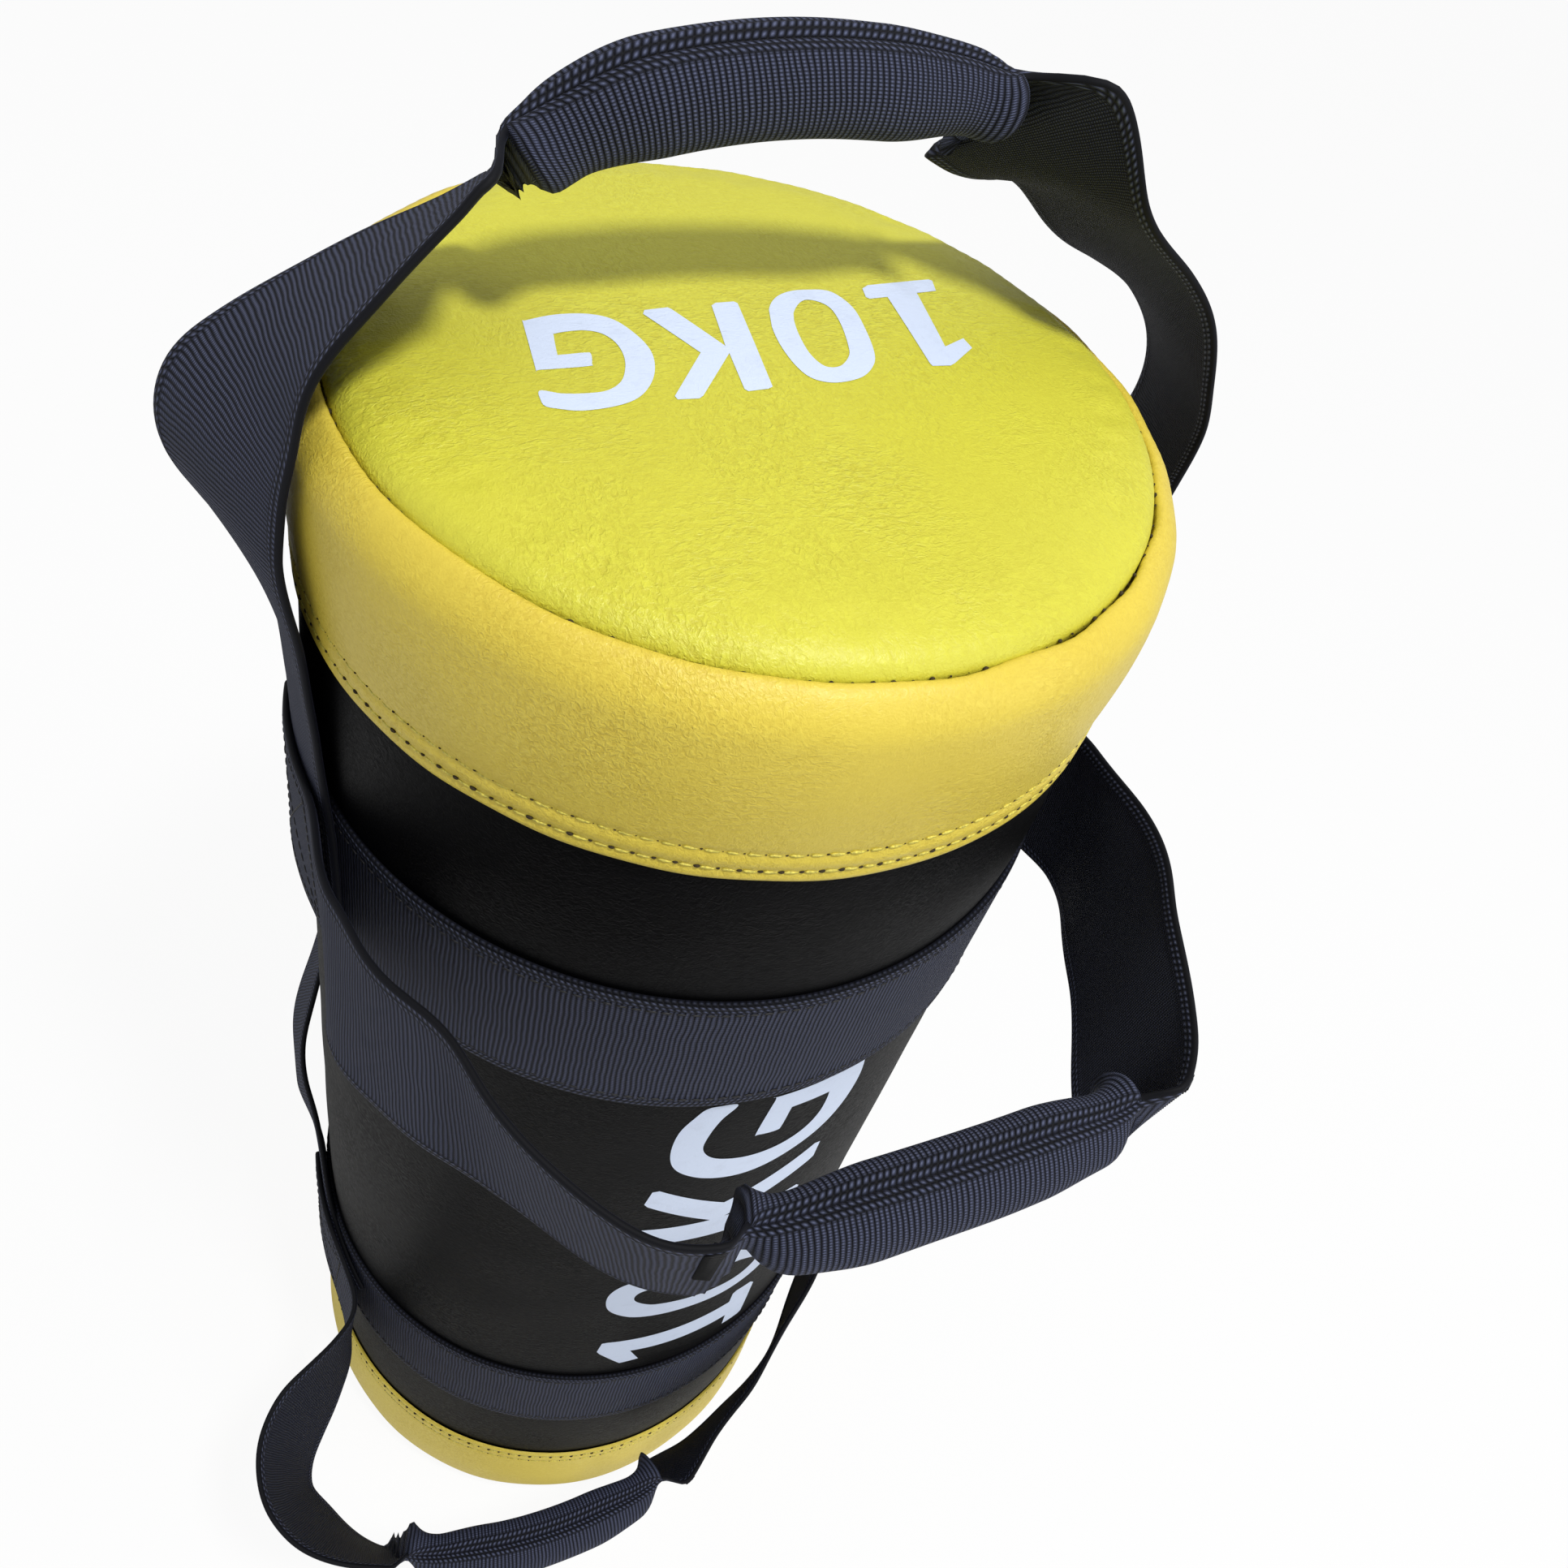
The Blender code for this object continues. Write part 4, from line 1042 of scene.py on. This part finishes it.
def sewn(name, paths, finish, body, closed=False, thread_run=False, **sizes):
    """Sews along paths of points, and rides the plain mesh of it on a body."""
    verts = []
    edges = []
    for path in paths:
        first = len(verts)
        verts += [tuple(point) for point in path]
        edges += [(first + i, first + i + 1) for i in range(len(path) - 1)]
        if closed:
            edges.append((len(verts) - 1, first))
    carrier = linked(name + "_path", plain_mesh(name + "_path", verts, edges))
    label = "Thread run" if thread_run else "Row of stitches"
    tree = bpy.data.node_groups.get(label) or sewing_tree(label, thread_run)
    sewing = carrier.modifiers.new("Sewing", "NODES")
    sewing.node_group = tree
    wanted = {**sizes, "Material": finish_of(finish), "Seed": bpy.context.scene.sandbag_stage.seed}
    for item in tree.interface.items_tree:
        if item.in_out == "INPUT" and item.name in wanted:
            sewing[item.identifier] = wanted[item.name]
    result = bpy.data.meshes.new_from_object(evaluated(carrier))
    bpy.data.objects.remove(carrier)
    made = linked(name, result)
    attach(made, body)
    return made


def sew_ring(name, finish, radius, height, bead, spread, share_shift=0.0):
    """Sews a row round the bag, a bead to each stitch of the seam, moved on by a share of a stitch."""
    angles = (np.arange(ROUND_STEPS) / ROUND_STEPS + share_shift / SEAM_STITCHES) * math.tau
    pitch = math.tau * BAND_RADIUS / SEAM_STITCHES * 0.9999
    path = ring_path(radius, height, angles)
    sizes = dict(zip(("Length", "Thickness", "Smallest", "Largest"), (*bead, *spread)))
    sewn(name, [path], finish, "bag", closed=True, Pitch=pitch * radius / BAND_RADIUS, **sizes)


def ring_path(radius, height, angles=np.arange(ROUND_STEPS) / ROUND_STEPS * math.tau):
    return np.column_stack([radius * np.cos(angles), radius * np.sin(angles), np.full(len(angles), height)])


class SandbagStitches(bpy.types.Operator):
    """Sews the cap bands, the belts and the handles"""

    bl_idname = "sandbag.stitches"
    bl_label = "Stitches and needle holes"

    def execute(self, context):
        sizes = context.scene.sandbag_sizes
        thread = (sizes.stitch_length, sizes.thread)
        radius = BAND_RADIUS - 0.28 * MM
        for side, edge, way in (("top", TOP_EDGE, 1), ("bottom", LOW_EDGE, -1)):
            for row, up, spread in zip(("outer", "inner"), LAP_ROWS, ((0.55, 1.15), (0.2, 0.6))):
                label = f"{side}_{row}_row_"
                level = edge + way * up
                sew_ring(label + "stitches", "Yellow thread", radius, level, thread, (0.85, 1.1), 0.5)
                level = edge + way * (up + 0.2 * MM)
                hole = (1.5 * MM, 0.9 * MM)
                sew_ring(label + "holes", "Needle hole shade", radius + 0.05 * MM, level, hole, spread)
        radius = BAND_RADIUS - 7.75 * MM
        for side, level in (("top", TOP_SEAM - 1.3 * MM), ("bottom", LOW_SEAM + 1.3 * MM)):
            hole = (1.5 * MM, 1.1 * MM)
            sew_ring(side + "_seam_holes", "Needle hole shade", radius, level, hole, (0.1, 1.0))
        for node, middle in BELT_MIDDLES.items():
            rows = [ring_path(BELT_OUTER + 0.05 * MM, middle + way * (BELT_HALF - 4 * MM)) for way in (-1, 1)]
            stitch = {"Pitch": 3.6 * MM, "Length": 2.7 * MM, "Thickness": 0.6 * MM}
            sewn(node + "_stitches", rows, "Black thread", "bag", closed=True, **stitch)
        for name in HANDLES:
            self.sew_handle(name)
        return {"FINISHED"}

    def sew_handle(self, name):
        """Box stitches on the two sewn ends, which stay with the bag, and bar tacks at the grip's ends."""
        points, even, _ = strap_sections(name)
        outer = points[:, :ACROSS_POINTS]
        boxes = []
        near = 4 * MM
        far = SEWN_END * 2 - 4 * MM
        wide = STRAP_HALF - 4.5 * MM
        corners = [(near, -wide), (near, wide), (far, wide), (far, -wide), (near, -wide), (far, wide)]
        corners += [(far, -wide), (near, wide)]
        for start, way in ((0, 1), (even[-1], -1)):
            route = []
            for (a, b), (c, d) in zip(corners, corners[1:]):
                steps = max(int(math.hypot(c - a, d - b) / (2 * MM)), 2)
                for share in np.linspace(0, 1, steps, endpoint=False):
                    route.append((start + way * (a + (c - a) * share), b + (d - b) * share))
            boxes.append([on_strap(outer, even, u, v) for u, v in route])
        stitch = {"Pitch": 3.2 * MM, "Length": 2.5 * MM, "Thickness": 0.6 * MM}
        sewn(name + "_box_stitches", boxes, "Black thread", "bag", **stitch)
        if not HANDLES[name][-1]:
            return
        rolled = np.flatnonzero(strap_stations(name)[0][:, 3] > 0.03)
        sides = np.arange(-1.5 * MM, STRAP_HALF - 0.6 * MM, 0.45 * MM)
        tacks = []
        for u in even[[rolled[0] - 1, rolled[-1] + 1]]:
            for shift in (0.0, 0.9 * MM):
                zigzag = [(u + (1.3 * MM if i % 2 else -1.3 * MM) + shift, v) for i, v in enumerate(sides)]
                tacks.append([on_strap(outer, even, a, v, 0.2 * MM) for a, v in zigzag])
        sewn(name + "_bar_tacks", tacks, "Black thread", name, thread_run=True, Thickness=0.62 * MM)


def on_strap(outer, even, along, across, lift=0.05 * MM):
    """A point on a strap's outside, at a length along and a place across it."""
    row = np.clip(np.interp(along, even, np.arange(len(even))), 0, len(even) - 1.001)
    column = (across / STRAP_HALF + 1) / 2 * (ACROSS_POINTS - 1)
    column = np.clip(column, 0, ACROSS_POINTS - 1.001)
    i, j = int(row), int(column)
    p, q = row - i, column - j
    low = outer[i, j] * (1 - q) + outer[i, j + 1] * q
    high = outer[i + 1, j] * (1 - q) + outer[i + 1, j + 1] * q
    normal = np.cross(outer[i + 1, j] - outer[i, j], outer[i, j + 1] - outer[i, j])
    normal /= max(np.linalg.norm(normal), 1e-12)
    return low * (1 - p) + high * p + normal * lift


def plain_mark(size, lean, gap):
    """Flat mesh of the weight mark about its middle, cut fine enough to follow a curved surface."""
    curve = bpy.data.curves.new("mark", "CURVE")
    curve.dimensions = "2D"
    curve.fill_mode = "BOTH"
    for rounded, is_unit, outline in MARK_OUTLINES:
        corners = np.array(outline, dtype=float)
        if rounded:
            closed = np.vstack([corners[-1:], corners, corners[:2]])
            corners = curve_through(closed, 6)[6:-12]
        corners[:, 0] += corners[:, 1] * lean + (gap if is_unit else 0)
        corners -= MARK_MIDDLE
        spline = curve.splines.new("POLY")
        spline.points.add(len(corners) - 1)
        flat = np.column_stack([corners * MM * size, np.zeros(len(corners)), np.ones(len(corners))])
        spline.points.foreach_set("co", flat.ravel())
        spline.use_cyclic_u = True
    made = linked("mark", curve)
    mesh = bpy.data.meshes.new_from_object(evaluated(made))
    bpy.data.objects.remove(made)
    form = bmesh.new()
    form.from_mesh(mesh)
    reach = np.abs([vert.co[:2] for vert in form.verts]).max(axis=0)
    for axis, most in enumerate(reach):
        way = Vector((1 - axis, axis, 0))
        for place in np.arange(-most, most, 2 * MM):
            parts = form.verts[:] + form.edges[:] + form.faces[:]
            bmesh.ops.bisect_plane(form, geom=parts, plane_co=way * place, plane_no=way, dist=0.0001 * MM)
    form.verts.index_update()
    points = np.array([vert.co[:] for vert in form.verts])
    faces = [[vert.index for vert in face.verts] for face in form.faces]
    form.free()
    return points, faces


def surface_of(name):
    return BVHTree.FromObject(bpy.data.objects[name], bpy.context.evaluated_depsgraph_get())


class SandbagWeightMarks(bpy.types.Operator):
    """Lays plain weight marks on the end disc and on the front of the cover"""

    bl_idname = "sandbag.weight_marks"
    bl_label = "Weight marks"

    def execute(self, context):
        points, faces = plain_mark(context.scene.sandbag_sizes.mark_size, 0, 0)
        disc = surface_of("top_disc_leather")
        turn = math.radians(186)
        middle = np.array([55, 21]) * MM
        ways = np.array([(math.cos(turn), math.sin(turn)), (-math.sin(turn), math.cos(turn))])
        middle = middle + MARK_MIDDLE * MM @ ways
        placed = []
        for x, y, _ in points:
            px, py = middle + np.array([x, y]) @ ways
            hit, *_ = disc.ray_cast(Vector((px, py, TOP_SEAM + 0.1)), Vector((0, 0, -1)))
            placed.append(hit + Vector((0, 0, 0.12 * MM)))
        made = add_piece("disc_weight_mark", placed, faces, ["Pale heat-pressed print"])
        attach(made, "bag")

        points, faces = plain_mark(1.7, -0.26, 9)
        cover = surface_of("cover_leather")
        placed = []
        middle = (BELT_MIDDLES["upper_belt"] + BELT_MIDDLES["lower_belt"]) / 2
        for x, y, _ in points:
            angle = -math.pi / 2 - y / COVER_RADIUS
            way = Vector((math.cos(angle), math.sin(angle), 0))
            hit, *_ = cover.ray_cast(way * 0.2 + Vector((0, 0, middle + x)), -way)
            placed.append(hit + way * 0.12 * MM)
        made = add_piece("cover_weight_mark", placed, faces, ["Pale heat-pressed print"])
        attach(made, "bag")
        return {"FINISHED"}


class SandbagFilling(bpy.types.Operator):
    """Gives the padding, the pouch and the sand inside the bag their finishes"""

    bl_idname = "sandbag.filling"
    bl_label = "Filling finishes"

    def execute(self, context):
        wanted = {
            "padding_sleeve": "Grey foam",
            "top_end_pad": "Grey foam",
            "bottom_end_pad": "Grey foam",
            "sand_pouch": "White pouch cloth",
            "pouch_tie": "Natural nylon",
            "sand_fill": "Dry sand",
        }
        for name in HANDLES:
            wanted[name + "_core"] = "Grey foam"
        for node, finish in wanted.items():
            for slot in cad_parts[node].material_slots:
                slot.material = finish_of(finish)
        return {"FINISHED"}


class SandbagStageOperator(bpy.types.Operator):
    """Sets up the floor, the lights, the world and the camera"""

    bl_idname = "sandbag.stage"
    bl_label = "Studio stage"

    def execute(self, context):
        scene = context.scene
        stage = scene.sandbag_stage
        made, w, shader = new_material("Pale studio floor", 0.6)
        speck = w.noise(w.add("ShaderNodeTexCoord", give="Object"), 3.0, 2.0)
        links = w.tree.links
        links.new(w.tint(speck, stage.floor, darker(stage.floor, 0.985)), shader.inputs["Base Color"])
        path = w.tree.nodes.new("ShaderNodeLightPath").outputs
        seen = w.math("MULTIPLY", path["Is Camera Ray"], 0.92)
        glow = w.add("ShaderNodeEmission", {"Strength": 1.0})
        mixed = w.add("ShaderNodeMixShader", {0: seen, 1: shader.outputs[0], 2: glow})
        links.new(mixed, w.tree.nodes["Material Output"].inputs["Surface"])
        reach = 14
        corners = [(-reach, -reach, 0), (reach, -reach, 0), (reach, reach, 0), (-reach, reach, 0)]
        mesh = plain_mesh("floor", corners, faces=[(0, 1, 2, 3)])
        mesh.materials.append(made)
        floor = linked("studio_floor", mesh)

        world = bpy.data.worlds.new("Soft white room")
        world.use_nodes = True
        scene.world = world
        w = Wiring(world.node_tree)
        path = w.tree.nodes.new("ShaderNodeLightPath").outputs
        clear = w.math("ADD", path["Is Camera Ray"], path["Is Transmission Ray"])
        sky = w.tree.nodes["Background"].inputs
        w.tree.links.new(w.remap(clear, to_low=0.50), sky["Strength"])
        sky["Color"].default_value = (1, 1, 1, 1)

        for name, place, aim, size, power in (
            ("key", (0.10, -0.55, 1.75), (0, 0, 0.5), 0.20, stage.key_power),
            ("fill", (1.1, -1.3, 1.1), (0, 0, 0.3), 1.2, stage.fill_power),
        ):
            light = bpy.data.lights.new(name, "AREA")
            light.shape = "DISK"
            light.size = size
            light.energy = power
            lamp = linked(name, light)
            lamp.location = place
            lamp.rotation_euler = (Vector(aim) - Vector(place)).to_track_quat("-Z", "Y").to_euler()

        lens = bpy.data.cameras.new("camera")
        lens.lens = CAMERA_LENS
        lens.sensor_width = 36
        lens.clip_start = 0.01
        lens.clip_end = 60
        camera = linked("camera", lens)
        right, up, ahead = camera_ways()
        turn = Matrix((right, up, -ahead)).transposed()
        camera.matrix_world = Matrix.Translation(CAMERA_PLACE) @ turn.to_4x4()
        scene.camera = camera
        scene.view_settings.view_transform = "Standard"
        return {"FINISHED"}


def camera_ways(pitch=-47.28, roll=18.56, yaw=7.16, turn=-30.0):
    """The camera's right, up and viewing directions, in degrees, turned about Z to face the bag."""
    pitch, roll, yaw, turn = (math.radians(angle) for angle in (pitch, roll, yaw, turn))
    ahead = Vector((math.sin(yaw) * math.cos(pitch), math.cos(yaw) * math.cos(pitch), math.sin(pitch)))
    level = ahead.cross(Vector((0, 0, 1))).normalized()
    upright = level.cross(ahead)
    right = math.cos(roll) * level + math.sin(roll) * upright
    up = -math.sin(roll) * level + math.cos(roll) * upright
    about = Matrix.Rotation(turn, 3, "Z")
    return about @ right, about @ up, about @ ahead


class SandbagPanel(bpy.types.Panel):
    """The bag's sizes, colours and building steps"""

    bl_idname = "VIEW3D_PT_sandbag"
    bl_label = "Training sandbag"
    bl_space_type = "VIEW_3D"
    bl_region_type = "UI"
    bl_category = "Sandbag"

    def draw(self, context):
        for group_name in GROUPS:
            group = getattr(context.scene, group_name)
            box = self.layout.box()
            for name in group.bl_rna.properties.keys():
                if name not in {"rna_type", "name"}:
                    box.prop(group, name)
        for operator in OPERATORS:
            self.layout.operator(operator.bl_idname)


OPERATORS = (
    SandbagCover,
    SandbagCapBands,
    SandbagEndDiscs,
    SandbagBelts,
    SandbagHandles,
    SandbagStitches,
    SandbagWeightMarks,
    SandbagFilling,
    SandbagStageOperator,
)
GROUPS = {"sandbag_sizes": SandbagSizes, "sandbag_colours": SandbagColours, "sandbag_stage": SandbagStage}


def register():
    for name, group in GROUPS.items():
        bpy.utils.register_class(group)
        setattr(bpy.types.Scene, name, PointerProperty(type=group))
    for operator in OPERATORS:
        bpy.utils.register_class(operator)
    bpy.utils.register_class(SandbagPanel)


def unregister():
    bpy.utils.unregister_class(SandbagPanel)
    for operator in reversed(OPERATORS):
        bpy.utils.unregister_class(operator)
    for name, group in GROUPS.items():
        delattr(bpy.types.Scene, name)
        bpy.utils.unregister_class(group)


def main():
    register()
    for operator in OPERATORS:
        family, step = operator.bl_idname.split(".")
        getattr(getattr(bpy.ops, family), step)()


if __name__ == "__main__":
    main()
